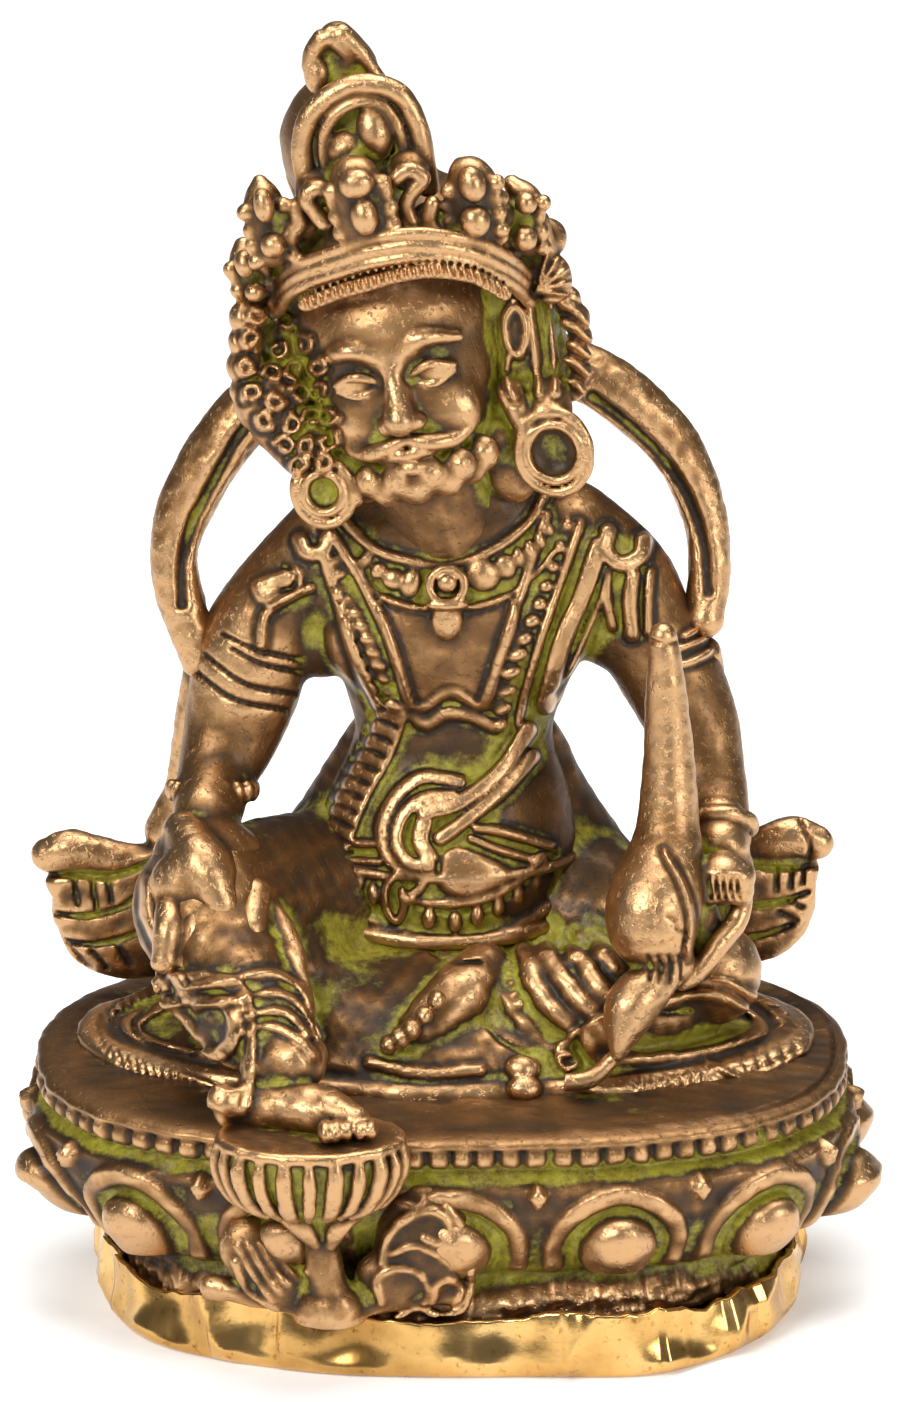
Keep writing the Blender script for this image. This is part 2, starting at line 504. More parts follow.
class Wax:
    """A lump of wax on a grid of points, each with its distance to the surface in millimetres."""

    def __init__(self, low, high, grain):
        self.low = np.array(low, float)
        self.grain = grain
        self.count = np.ceil((np.array(high) - self.low) / grain).astype(int) + 1
        self.field = np.full(self.count, FAR, np.float32)
        self.turn, self.shift = np.eye(3), np.zeros(3)
        self.drawing = np.zeros((PHOTO_HEIGHT, PHOTO_WIDTH), np.float32)
        self.patches = np.zeros((PHOTO_HEIGHT, PHOTO_WIDTH), np.float32)

    def near(self, spots, reach):
        """The grid's slices within reach of these spots, and its points there, in the lump's own axes."""
        world = np.atleast_2d(spots) @ self.turn.T + self.shift
        first = np.floor((world.min(0) - reach - self.low) / self.grain).astype(int)
        first = np.clip(first, 0, self.count)
        last = np.ceil((world.max(0) + reach - self.low) / self.grain).astype(int) + 1
        last = np.clip(last, first, self.count)
        axes = [(self.low[i] + np.arange(first[i], last[i]) * self.grain - self.shift[i]).astype(np.float32)
                for i in range(3)]
        grid = np.stack(np.meshgrid(*axes, indexing="ij"), axis=-1)
        return tuple(slice(a, b) for a, b in zip(first, last)), grid @ self.turn.astype(np.float32)

    def join(self, part, distance, soft, cut=False):
        """Adds a shape to the wax, or cuts it away, with a fillet of size soft."""
        old = -self.field[part] if cut else self.field[part]
        share = np.clip(0.5 + 0.5 * (old - distance) / max(soft, 1e-3), 0, 1)
        new = old + (distance - old) * share - soft * share * (1 - share)
        self.field[part] = -new if cut else new

    def ball(self, centre, radii, turn=np.eye(3), soft=0.3, cut=False):
        """An ellipsoid."""
        radii = np.broadcast_to(np.asarray(radii, float), 3)
        part, grid = self.near(centre, radii.max() + MARGIN)
        local = (grid - np.asarray(centre, np.float32)) @ turn.astype(np.float32)
        one = np.linalg.norm(local / radii, axis=-1)
        two = np.linalg.norm(local / radii ** 2, axis=-1)
        self.join(part, one * (one - 1) / np.maximum(two, 1e-4), soft, cut)

    def limb(self, route, radii, soft=0.3, closed=False, flat=None, parts=6):
        """A round limb through the points of route. flat is a direction and how many times thinner it is."""
        route, radii = smooth_route(route, radii, closed, parts)
        stretch = np.eye(3)
        if flat:
            thin = np.asarray(flat[0], float) / np.linalg.norm(flat[0])
            stretch += (flat[1] - 1) * np.outer(thin, thin)
        stretch = stretch.astype(np.float32)
        whole, _ = self.near(route, radii.max() + MARGIN)
        shape = np.full([some.stop - some.start for some in whole], FAR, np.float32)
        for one, two, low, high in zip(route, route[1:], radii, radii[1:]):
            part, grid = self.near([one, two], max(low, high) + MARGIN)
            inner = tuple(slice(a.start - b.start, a.stop - b.start) for a, b in zip(part, whole))
            run = ((two - one) @ stretch).astype(np.float32)
            local = (grid - one.astype(np.float32)) @ stretch
            share = np.clip(local @ run / max(run @ run, 1e-9), 0, 1)
            local -= share[..., None] * run
            distance = np.sqrt(np.einsum("...i,...i", local, local)) - (low + share * (high - low))
            shape[inner] = np.minimum(shape[inner], distance)
        self.join(whole, shape, soft)

    def ring(self, centre, across, deep, tube, turn=np.eye(3), soft=0.2):
        """A closed oval cord that lies level before it is turned."""
        angle = np.linspace(0, 2 * math.pi, 20, endpoint=False)
        spots = np.column_stack([across * np.sin(angle), -deep * np.cos(angle), 0 * angle]) @ turn.T + centre
        self.limb(spots, tube, soft, closed=True)

    def column(self, levels, soft=0.5):
        """Level ovals, each given as (x, y, z, half width, half depth), with a smooth wall through them."""
        levels = np.array(levels, float)
        curve, wide = smooth_route(levels[:, [2, 0, 1, 3]], levels[:, 4], parts=8)
        corners = np.concatenate([curve[:, [1, 2, 0]] - [[1, 0, 0]] * curve[:, 3:],
                                  curve[:, [1, 2, 0]] + [[1, 0, 0]] * curve[:, 3:]])
        corners = np.concatenate([corners - [0, wide.max(), 0], corners + [0, wide.max(), 0]])
        part, grid = self.near(corners, MARGIN)
        height = grid[..., 2]
        across = np.interp(height, curve[:, 0], curve[:, 3]).astype(np.float32)
        deep = np.interp(height, curve[:, 0], wide).astype(np.float32)
        x = grid[..., 0] - np.interp(height, curve[:, 0], curve[:, 1])
        y = grid[..., 1] - np.interp(height, curve[:, 0], curve[:, 2])
        one = np.hypot(x / across, y / deep)
        two = np.hypot(x / across ** 2, y / deep ** 2)
        wall = one * (one - 1) / np.maximum(two, 1e-4)
        ends = np.maximum(curve[0, 0] - height, height - curve[-1, 0])
        self.join(part, np.maximum(wall, ends), soft)

    def read(self, spots, field=None):
        """The distance at these points of the world."""
        field = self.field if field is None else field
        place = np.clip((spots - self.low) / self.grain, 0, self.count - 1.001)
        base = place.astype(int)
        share = (place - base).astype(np.float32)
        total = 0
        for corner in np.ndindex(2, 2, 2):
            weight = np.prod(np.where(corner, share, 1 - share), axis=-1)
            total = total + weight * field[tuple((base + corner).reshape(-1, 3).T)].reshape(weight.shape)
        return total

    def at(self, pixel, deep):
        """The spot seen at a pixel, at the depth deep along Y in the world, in the lump's own axes."""
        line = sight([pixel])[0]
        spot = camera_spot + line * (deep - camera_spot[1]) / line[1]
        return (spot - self.shift) @ self.turn

    def route(self, pixels, deep):
        """The spots seen at these pixels, all at one depth or each at its own."""
        return [self.at(pixel, one) for pixel, one in zip(pixels, np.broadcast_to(deep, len(pixels)))]

    def touch(self, pixels):
        """Where the lines of sight through these pixels first meet the wax, in the lump's own axes."""
        lines = sight(pixels)
        reach = np.arange(CAMERA_REACH - 62, CAMERA_REACH + 62, 0.12)
        spots = camera_spot + lines[:, None] * reach[:, None]
        inside = ((spots >= self.low) & (spots <= self.low + (self.count - 1) * self.grain)).all(-1)
        depth = np.where(inside, self.read(spots), FAR)
        met = depth < 0
        first = np.where(met.any(1), met.argmax(1), depth.argmin(1))
        found = spots[np.arange(len(lines)), first]
        return (found - self.shift) @ self.turn

    def laid(self, pixels, radius, soft=0.15, sink=0.0):
        """A cord laid on the surface along this line of pixels."""
        route = self.touch(spread(pixels, 7.0))
        back = (ahead @ self.turn) * sink
        radius = np.atleast_1d(radius)
        radii = np.interp(np.linspace(0, 1, len(route)), np.linspace(0, 1, len(radius)), radius)
        self.limb(route + back, radii, soft, parts=2)

    def beads(self, pixels, radii, pitch, soft=0.1):
        """Beads set on the surface a pitch of pixels apart."""
        for spot in self.touch(spread(pixels, pitch)):
            self.ball(spot, radii, soft=soft)

    def stud(self, pixel, radii, soft=0.12, sink=0.0, lean=0.0):
        """One bead or jewel set on the surface, leaning to its right by some degrees."""
        spot = self.touch([pixel])[0] + (ahead @ self.turn) * sink
        self.ball(spot, radii, turn=self.turn.T @ turned_by("Y", lean), soft=soft)

    def draw(self, route, wide, rise, taper=False):
        """A chased line, wide and raised by so many millimetres, or sunk if rise is negative."""
        curve, _ = smooth_route(route, 0)
        half = wide * PIXELS_EACH_MM / 2
        area, across, down = part_of(self.drawing, curve, half + 7)
        within = np.full(area.shape, -99.0, np.float32)
        steps = len(curve) - 1
        for i, (one, two) in enumerate(zip(curve, curve[1:])):
            share, apart = beside_line(across, down, one, two)
            slim = half * (1 - 0.75 * (i + share) / steps if taper else 1)
            within = np.maximum(within, slim - apart)
        if rise < 0:
            area += rise * smooth_step(-0.8, half, within)
            return
        raised = rise * smooth_step(-0.8, min(half, 4.5), within)
        groove = GROOVE * np.exp(-((within + 2.6) / 2.0) ** 2) * (area < 0.15)
        area[:] = np.maximum(area - groove, np.where(within > -0.8, raised, -FAR))

    def raise_patch(self, outline, rise, edge):
        """Lifts, or sinks, the area inside an outline of pixels, with a soft edge."""
        curve, _ = smooth_route(outline, 0, closed=True)
        area, across, down = part_of(self.patches, curve, 8)
        nearest = np.full(area.shape, 1e6, np.float32)
        inside = np.zeros(area.shape, bool)
        for one, two in zip(curve, curve[1:]):
            run = two - one
            nearest = np.minimum(nearest, beside_line(across, down, one, two)[1])
            if run[1]:
                crossing = one[0] + (down - one[1]) * run[0] / run[1]
                inside ^= ((one[1] > down) != (two[1] > down)) & (across < crossing)
        within = np.where(inside, nearest, -nearest) / PIXELS_EACH_MM
        area += rise * smooth_step(-edge / 2, edge / 2, within)

    def chase(self):
        """Works the drawing into the surface that faces the eye, and clears the drawing."""
        spots = np.argwhere(np.abs(self.field[1:-1, 1:-1, 1:-1]) < 1.5) + 1
        slope = [self.field[tuple((spots + step).T)] - self.field[tuple((spots - step).T)]
                 for step in np.eye(3, dtype=int)]
        slope = np.stack(slope, axis=1) / (2 * self.grain)
        pixels = seen(self.low + spots * self.grain)
        across, down = np.clip(pixels, 0, [PHOTO_WIDTH - 2, PHOTO_HEIGHT - 2]).T
        left, top = across.astype(int), down.astype(int)
        right, low = across - left, down - top
        page = self.drawing + self.patches
        height = (page[top, left] * (1 - right) + page[top, left + 1] * right) * (1 - low)
        height += (page[top + 1, left] * (1 - right) + page[top + 1, left + 1] * right) * low
        facing = smooth_step(0.05, 0.45, -(slope @ ahead))
        self.field[tuple(spots.T)] -= (height * facing).astype(np.float32)
        self.drawing[:] = self.patches[:] = 0

    def roughen(self, seed, waves, strength):
        """Uneven places, as the casting has them."""
        spots = np.argwhere(np.abs(self.field) < 1.2)
        uneven = ripple(seed, waves, self.low + spots * self.grain, strength)
        self.field[tuple(spots.T)] += uneven.astype(np.float32)

    def skin(self):
        """The points and four-sided faces of the surface."""
        field = self.field
        for side in (0, -1):
            field[side] = field[:, side] = field[:, :, side] = FAR
        inside = field < 0
        corners = np.array(list(np.ndindex(2, 2, 2)))
        total = sum(inside[tuple(slice(a, n - 1 + a) for a, n in zip(corner, self.count))].astype(np.uint8)
                    for corner in corners)
        active = (total > 0) & (total < len(corners))
        cells = np.argwhere(active)
        number = np.full(active.shape, -1, np.int32)
        number[active] = np.arange(len(cells))
        values = np.stack([field[tuple((cells + corner).T)] for corner in corners], axis=1)
        place = np.zeros((len(cells), 3), np.float32)
        hits = np.zeros(len(cells), np.float32)
        for a, one in enumerate(corners):
            for b, two in enumerate(corners):
                if (two - one).min() < 0 or (two - one).sum() != 1:
                    continue
                crossed = (values[:, a] < 0) != (values[:, b] < 0)
                share = values[:, a] / np.where(crossed, values[:, a] - values[:, b], 1)
                place += np.where(crossed[:, None], one + share[:, None] * (two - one), 0)
                hits += crossed
        spots = self.low + (cells + place / hits[:, None]) * self.grain
        faces = []
        for axis in range(3):
            near = [slice(1, -1)] * 3
            beyond = [slice(1, -1)] * 3
            near[axis], beyond[axis] = slice(0, -1), slice(1, None)
            one, two = inside[tuple(near)], inside[tuple(beyond)]
            edges = np.argwhere(one != two)
            leaving = one[tuple(edges.T)]
            base = edges + 1
            base[:, axis] -= 1
            side, up = np.eye(3, dtype=int)[(axis + 1) % 3], np.eye(3, dtype=int)[(axis + 2) % 3]
            backs = (side + up, up, 0 * up, side)
            quad = np.stack([number[tuple((base - back).T)] for back in backs], axis=1)
            faces.append(np.where(leaving[:, None], quad, quad[:, ::-1]))
        return spots, np.concatenate(faces)

    def cast(self, name, most):
        """Casts the wax as a piece that knows how hollow each of its points is."""
        spots, faces = self.skin()
        piece = cast_piece(name, spots, [faces], most)
        spots, _ = mesh_points(piece.data)
        blurred = self.field.clip(-1.2, 1.2)
        for value, passes, step, weight in (("near_hollow", 3, 1, 4.5), ("middle_hollow", 6, 2, 1.6)):
            for axis in range(3):
                for _ in range(passes):
                    blurred = (blurred + np.roll(blurred, step, axis) + np.roll(blurred, -step, axis)) / 3
            deeper = self.read(spots, blurred) - self.read(spots)
            write_value(piece.data, value, np.clip(0.5 - deeper * weight, 0, 1))
        solid_blocks.append((self.low, self.grain, self.field < 0))


STEP_X, STEP_Y, STEP_TOP = -9.9, -22.8, 19.0
STEP_ACROSS, STEP_DEEP, STEP_HEIGHT = 6.6, 4.5, 5.6
STALK_WIDE = 1.35
lotus = Wax((-19, -29, PLATE_RIM - 0.1), (2.5, -15.5, 21), 0.15)
lotus.column([(STEP_X + 0.4, STEP_Y + 1.4, STEP_TOP - STEP_HEIGHT - 0.4, 2.4, 2.0),
              (STEP_X + 0.1, STEP_Y + 0.4, STEP_TOP - STEP_HEIGHT + 1.0, 4.4, 3.3),
              (STEP_X, STEP_Y, STEP_TOP - 3.0, 5.6, 3.9),
              (STEP_X, STEP_Y, STEP_TOP - 1.2, 6.2, 4.2), (STEP_X, STEP_Y, STEP_TOP, 6.3, 4.3)])
for i, angle in enumerate(np.radians(np.linspace(-112, 112, 15))):
    out = np.array([math.sin(angle), -math.cos(angle), 0])
    girth = (0.62, 0.5)[i % 2]
    rib = [(share, -drop) for share, drop in ((0.98, 0.6), (1.0, 1.8), (0.93, 3.2), (0.80, 4.5), (0.62, 5.4))]
    lotus.limb([(STEP_X, STEP_Y, STEP_TOP + drop) + out * [STEP_ACROSS * share, STEP_DEEP * share, 0]
                for share, drop in rib], np.array([0.7, 1.05, 1.1, 1.0, 0.6]) * girth, soft=0.12)
lotus.ring((STEP_X, STEP_Y, STEP_TOP - 0.35), STEP_ACROSS - 0.2, STEP_DEEP - 0.1, 0.42)
lotus.limb([(-9.5, -21.6, 14.4), (-9.2, -21.9, 11.6), (-8.9, -22.1, 8.6), (-8.6, -22.0, 6.6),
            (-8.5, -21.6, 5.3)], [2.5, STALK_WIDE, STALK_WIDE, 1.7, 2.6])
for side, tip in ((-1, (-12.6, -22.6, 13.6)), (1, (-5.9, -22.4, 13.4))):
    lotus.limb([(-9.0 + side * 0.5, -23.0, 10.9), (-9.2 + side * 1.5, -23.6, 12.6), tip], [0.55, 0.85, 0.5],
               soft=0.2)
lotus.ball((-1.9, -20.9, 10.2), (3.4, 1.7, 4.3), soft=0.5)
lotus.ball((-4.2, -21.2, 7.6), (2.6, 1.5, 2.2), soft=0.5)
lotus.ball((-13.9, -20.4, 9.0), (2.3, 1.6, 3.0), turned_by("Y", -30), soft=0.5)
lotus.ball((-11.6, -21.2, 6.9), (2.2, 1.2, 1.7), soft=0.5)
lotus.limb([(-17, -19.4, 6.2), (-8.5, -21.4, 5.7), (0.5, -20.2, 6.2)], [0.9, 1.0, 0.9], soft=0.4)
# The scrolled leaf on the stalk's right, cord by cord, and each cord's girth.
LEAF_CURLS = (
    ([(383, 1262), (389, 1236), (410, 1216), (436, 1212), (449, 1228), (438, 1243), (424, 1238)], 0.42),
    ([(447, 1207), (462, 1230), (470, 1262), (468, 1296), (455, 1314), (432, 1316)], 0.42),
    ([(381, 1301), (377, 1280), (393, 1269), (417, 1272), (428, 1288), (424, 1302)], 0.40),
    ([(432, 1300), (436, 1284), (451, 1279), (461, 1291), (454, 1304)], 0.36),
    ([(392, 1254), (414, 1246), (438, 1256), (452, 1268)], 0.32),
    ([(398, 1318), (416, 1308), (436, 1314)], 0.34),
    ([(400, 1202), (416, 1208), (424, 1200)], 0.34),
)
for route, girth in LEAF_CURLS:
    lotus.laid(route, [girth, girth, girth * 0.8], sink=0.05)
# The left leaf is a shell: its first rib, how far each next one is moved, and its edge.
SHELL_RIB = np.array([(238, 1246), (252, 1272), (272, 1300)])
SHELL_STEP = np.array([(11, -1), (10, -3), (9, -7)])
SHELL_EDGE = ((236, 1262), (248, 1290), (276, 1308))
for i in range(5):
    lotus.laid(SHELL_RIB + i * SHELL_STEP, [0.28, 0.34, 0.24], sink=0.05)
lotus.laid(SHELL_EDGE, 0.36)
lotus.roughen(SEED + 8, ((2.4, 1.0), (0.9, 0.5)), 0.06)
lotus.cast("front_lotus", 60000)

# The skirt lies spread over the throne with its pleats and hems chased in, over both legs: the right
# one hangs down to the small lotus, and the left one is folded flat with its foot in the lap.
lap = Wax((-28.5, -30, 16.6), (28.5, 19.5, 42), 0.215)
lap.shift = np.array([0, 0, THRONE_TOP])
ankle = np.array([STEP_X - 1.8, STEP_Y + 5.2, STEP_TOP + 3.3 - THRONE_TOP])
lap.column([(-0.2, 0.8, -0.8, 26.7, 13.6), (-0.2, 0.8, 0.3, 26.7, 13.6), (-0.2, 0.9, 0.9, 26.2, 13.2),
            (-0.1, 1.2, 1.3, 24.4, 12.2)])
lap.ball((-2, 2.6, -0.4), (21.5, 14.5, 4.4), soft=1.5)
lap.ball((-1, 3.5, 0.5), (16, 15.4, 7.4), soft=2.5)
lap.ball((0, 8.5, 5), (11.5, 8.5, 7), soft=2.0)
lap.ball((0, 9.5, 9.5), (11.0, 6.6, 7.6), soft=2.0)
lap.column([(0.3, 9.8, 5.0, 15.6, 8.0), (0.1, 9.8, 9.0, 14.8, 7.6), (0.0, 9.8, 12.4, 12.6, 7.0),
            (0.0, 9.6, 15.8, 10.4, 6.0), (0.2, 9.4, 19.6, 8.3, 4.6), (0.3, 9.2, 22.0, 7.0, 3.8)], soft=1.5)
knee = np.array([-17.4, -4.6, 11.6])
lap.limb([(-6, 8, 8), (-12, 2.4, 10), knee], [6.6, 6.0, 5.2], soft=1.5)
lap.ball(knee, (5.2, 5.6, 5.4), soft=1.0)
middle = (knee + ankle) / 2 + [-0.7, 0.2, 0.2]
lap.limb([knee, middle, ankle + [0.3, 0, 0.4]], [5.0, 4.0, 2.7], soft=0.8)
lap.limb([knee + [1.5, 2.0, -2], (-9.5, -3.0, 4.6), (-6.5, -6.5, 1.2)], [4.2, 3.2, 2.0], soft=2.2)
lap.limb([(6, 8, 7), (12.0, 4.4, 7.4), (17.0, 0.4, 6.6)], [6.4, 5.2, 3.8], soft=1.5)
lap.ball((18.9, -3.0, 6.2), (3.6, 3.6, 3.7), soft=0.25)
lap.limb([(17.4, -2.6, 4.2), (10.8, -5.6, 4.4), (4.2, -4.6, 4.4)], [3.0, 3.9, 3.4], soft=0.8)
# The pleats over the left shin, bunched at the belt and swept out to the hem.
PLEATS = (
    ([(493, 948), (498, 980), (512, 1008), (534, 1034), (556, 1052)], 0.62),
    ([(522, 944), (530, 972), (546, 1000), (570, 1024), (598, 1046)], 0.72),
    ([(541, 944), (552, 966), (572, 992), (594, 1014), (612, 1034)], 0.78),
    ([(562, 942), (576, 960), (594, 980), (612, 1000)], 0.78),
    ([(582, 938), (598, 952), (616, 970)], 0.75),
)
PLEAT_HEM = ((556, 1052), (600, 1062), (650, 1058), (700, 1040), (740, 1018))
for route, girth in PLEATS:
    lap.laid(route, [girth, girth * 1.15, girth * 0.9], soft=0.5, sink=0.05)
lap.laid(PLEAT_HEM, 0.6, soft=0.6, sink=0.25)
for share, girth in ((0.36, 4.75), (0.46, 4.6), (0.58, 4.2), (0.72, 3.6)):
    spot = knee + (ankle - knee) * share + [-0.5, 0.2, 0.2]
    lap.ring(spot, girth, girth * 0.96, 0.7, turned_by("X", 46) @ turned_by("Y", -16), soft=0.4)
# The right foot treads on the small lotus; the left one lies in the lap.
heel = ankle + [-2.6, -2.0, -2.4]
toe = ankle + [4.9, -5.6, -2.3]
lap.limb([heel, (ankle + toe) / 2 + [0, -1.0, -0.9], toe], [1.7, 1.8, 1.3], soft=0.5)
ANKLE_BONE, HEEL_BACK, FIRST_TOE = (264, 1068), (226, 1106), (388, 1044)
lap.ball(lap.at(ANKLE_BONE, -18.6), (1.75, 1.5, 1.4), soft=0.25)
lap.ball(lap.at(HEEL_BACK, -20.4), (0.95, 1.0, 1.6), soft=0.25)
for i in range(5):
    lap.ball(toe + [1.2 - 0.8 * i, -0.9 - 0.15 * i, -0.1], (0.62, 1.2, 0.8), soft=0.12)
lap.limb([(2.4, -4.8, 6.6), (0.6, -7.6, 5.9), (-2.2, -9.6, 4.2)], [2.3, 2.3, 1.6], soft=0.3)
for i in range(5):
    pixel = (FIRST_TOE[0] + 12 * i, FIRST_TOE[1] - 5 * i - 1.5 * i * i)
    lap.ball(lap.at(pixel, -11.0 - 0.2 * i), (0.72, 0.95, 0.8), soft=0.12)

# The hems lie on the throne in rings, one inside the other: outlines, raised and sunk in turn.
HEM_TERRACES = (
    ([(184, 972), (124, 988), (86, 1010), (76, 1036), (92, 1062), (140, 1084), (206, 1108), (250, 1108),
      (250, 990)], 0.55),
    ([(180, 990), (134, 1003), (112, 1016), (110, 1036), (140, 1058), (200, 1078), (240, 1084),
      (240, 1000)], -0.40),
    ([(180, 994), (142, 1008), (122, 1022), (134, 1040), (176, 1056), (220, 1062), (240, 1040),
      (240, 1000)], 0.45),
    ([(176, 1008), (148, 1020), (142, 1030), (168, 1044), (204, 1050), (226, 1036), (220, 1010)], -0.45),
    ([(756, 992), (790, 1012), (812, 1044), (790, 1072), (730, 1090), (650, 1100), (586, 1092), (560, 1040),
      (700, 980)], 0.50),
    ([(756, 1004), (780, 1022), (790, 1040), (760, 1054), (706, 1068), (640, 1084), (590, 1078), (580, 1030),
      (700, 980)], -0.35),
    ([(752, 1010), (768, 1030), (742, 1046), (690, 1062), (630, 1068), (590, 1062), (590, 1020),
      (700, 990)], 0.55),
    ([(744, 1012), (748, 1026), (720, 1036), (680, 1048), (640, 1052), (626, 1030), (690, 1000)], -0.45),
)
for outline, rise in HEM_TERRACES:
    lap.raise_patch(outline, rise, 0.3)
HEM_LINES = (
    ([(706, 1060), (735, 1076), (752, 1078), (780, 1066), (806, 1050)], 0.5, 0.40),
    ([(556, 1058), (572, 1054), (578, 1064), (566, 1070), (558, 1062)], 0.45, 0.35),
    ([(370, 1062), (420, 1074), (480, 1070)], 1.0, 0.30),
)
for route, wide, rise in HEM_LINES:
    lap.draw(route, wide, rise)
# Rows of short strokes cut into the hems: the row, the way a stroke runs, the pitch and its two ends.
HEM_STROKES = (
    ([(160, 992), (116, 1008), (98, 1028), (106, 1048), (144, 1068), (196, 1090)], (4, 11), 9.5, (-8, 8)),
    ([(636, 1082), (668, 1082), (704, 1076)], (0, 8), 11.0, (-6, 7)),
    ([(744, 1060), (772, 1056), (796, 1050)], (2, 7), 12.0, (-9, 9)),
    ([(776, 1008), (792, 1024), (802, 1040)], (8, 2), 8.0, (-7, 7)),
)
for route, lean, pitch, (short, far) in HEM_STROKES:
    for spot in spread(route, pitch):
        way = np.array(lean, float) / np.hypot(*lean)
        lap.draw([spot + way * short, spot + way * (short + far) / 2, spot + way * far], 0.32, -0.34)
# Folds of the cloth that is wound round the right shin.
SHIN_FOLDS = (
    ([(178, 992), (228, 980), (272, 972), (300, 988), (312, 1010)], 0.75, 0.38),
    ([(196, 1008), (246, 996), (284, 994), (306, 1012), (318, 1036)], 0.65, 0.30),
    ([(250, 1014), (284, 1012), (308, 1034)], 0.7, 0.30),
    ([(240, 1034), (268, 1026), (298, 1038), (314, 1056)], 0.7, 0.28),
    ([(146, 880), (146, 915), (162, 950), (180, 984)], 0.9, 0.25),
)
for route, wide, rise in SHIN_FOLDS:
    lap.draw(route, wide, rise)
CREASES = ([(150, 1008), (134, 1024), (150, 1044), (196, 1054)], [(430, 950), (452, 962), (480, 962)],
           [(484, 1020), (500, 1040), (530, 1056)], [(640, 1000), (664, 1012), (690, 1010)])
for route in CREASES:
    lap.draw(route, 0.4, -0.4)
lap.chase()
PLEAT_BEADS = ((508, 964), (509, 978), (513, 992), (520, 1004))
lap.beads(PLEAT_BEADS, 0.42, 12)
# The jewels that the mongoose has spat out lie in front of the left shin.
JEWELS = (((522, 1070), (1.3, 1.0, 1.1)), ((524, 1088), (1.25, 1.0, 0.9)), ((504, 1114), (0.95, 0.8, 0.8)),
          ((538, 1106), (1.1, 0.8, 0.7)), ((552, 1114), (0.8, 0.7, 0.6)), ((576, 1122), (1.05, 0.9, 0.95)))
for pixel, radii in JEWELS:
    lap.stud(pixel, radii, soft=0.2, sink=-0.2)
lap.roughen(SEED + 9, ((4.0, 1.0), (1.5, 0.7)), 0.10)
lap.cast("skirt_and_legs", 150000)

# Torso, belly and both arms are one form, chased with the necklace, the long bead strings, the sash
# and the belts, which were all cast with it.
body = Wax((-25, -13, 17), (24, 17, 66), 0.2)
body.shift = lap.shift
body.column([(-0.4, 7.0, 3.0, 8.2, 7.0), (-0.4, 6.5, 8.0, 9.3, 7.6), (-0.4, 6.5, 12.2, 9.7, 8.0),
             (-0.1, 7.0, 16.2, 8.9, 7.2), (0.25, 7.5, 21.0, 7.2, 5.3), (0.4, 7.3, 24.5, 8.0, 5.3),
             (0.5, 7.2, 27.4, 9.4, 5.7), (0.3, 7.1, 30.8, 11.2, 5.8), (0.2, 7.2, 34.2, 12.0, 5.4),
             (0.0, 7.2, 36.8, 11.2, 5.0), (-0.2, 7.0, 39.0, 8.4, 4.4), (-0.6, 6.5, 41.0, 5.6, 4.2),
             (-1.2, 5.8, 45.0, 4.8, 4.4)])
for side in (-1, 1):
    body.ball((0.3 + side * 4.6, 4.2, 29.4), (4.8, 3.0, 4.2), soft=1.2)
body.limb([(-8.4, 7.2, 35.0), (-11.5, 7.1, 32.3), (-13.7, 7.0, 28.6), (-14.9, 6.8, 24.8), (-15.9, 6.0, 21.4),
           (-17.0, 3.8, 18.8), (-17.6, 0.0, 17.0)], [4.2, 3.7, 4.1, 4.1, 3.5, 2.8, 2.5], soft=1.4)
body.limb([(8.4, 7.3, 35.9), (12.0, 7.2, 32.6), (13.9, 7.1, 29.2), (15.8, 6.8, 26.0), (17.6, 6.0, 22.2),
           (18.8, 4.0, 18.6), (19.5, 0.5, 15.4)], [4.2, 4.2, 3.8, 3.7, 3.3, 2.7, 2.3], soft=1.4)
body.ball((-9.4, 7.0, 28.3), (2.5, 2.6, 2.9), soft=1.0)
body.ball((11.4, 7.1, 29.1), (2.5, 2.6, 2.7), soft=1.0)
# The right hand, laid over the knee with its fingers down.
body.ball((-17.4, -3.4, 14.6), (4.1, 4.4, 3.4), soft=0.8)
body.ball((-18.2, -7.2, 14.2), (3.4, 2.4, 3.0), soft=0.8)
body.limb([(-19.2, -4.0, 17.2), (-17.8, -7.4, 16.0), (-16.4, -9.3, 13.6)], [1.5, 2.0, 1.3], soft=0.5)
for i in range(4):
    x = -20.4 + 1.95 * i
    body.limb([(x + 0.6, -7.4, 13.8), (x + 0.3, -10.0, 12.0), (x, -10.9, 10.0)], [1.1, 1.15, 0.95], soft=0.3)
    body.ball((x, -11.1, 9.7), (1.0, 0.8, 0.75), soft=0.15)
body.limb([(-16.9, -10.4, 9.4), (-18.2, -10.6, 8.2), (-18.6, -10.2, 7.0)], [0.9, 1.0, 0.5], soft=0.4)
for i in range(11):
    angle = math.radians(-95 + 19 * i)
    spot = (-17.2 + 3.0 * math.sin(angle), 2.6 - 2.4 * math.cos(angle), 18.2 + 0.6 * math.cos(angle))
    body.ball(spot, (0.5, 0.5, 0.85), soft=0.15)
# A smooth breastplate, the knot of the belt and the knot of the sleeve stand out as plain fields.
BREASTPLATE = ((378, 596), (440, 608), (508, 594), (520, 640), (508, 686), (478, 706), (450, 690), (422, 708),
               (402, 690))
BELT_KNOT = ((438, 856), (462, 848), (512, 872), (500, 888), (466, 898), (440, 886))
SLEEVE_KNOT = ((252, 584), (272, 574), (298, 568), (302, 590), (284, 604), (262, 604))
SLEEVE_SLIT = ((284, 566), (296, 574), (292, 588), (282, 590))
body.raise_patch(BREASTPLATE, 0.40, 0.5)
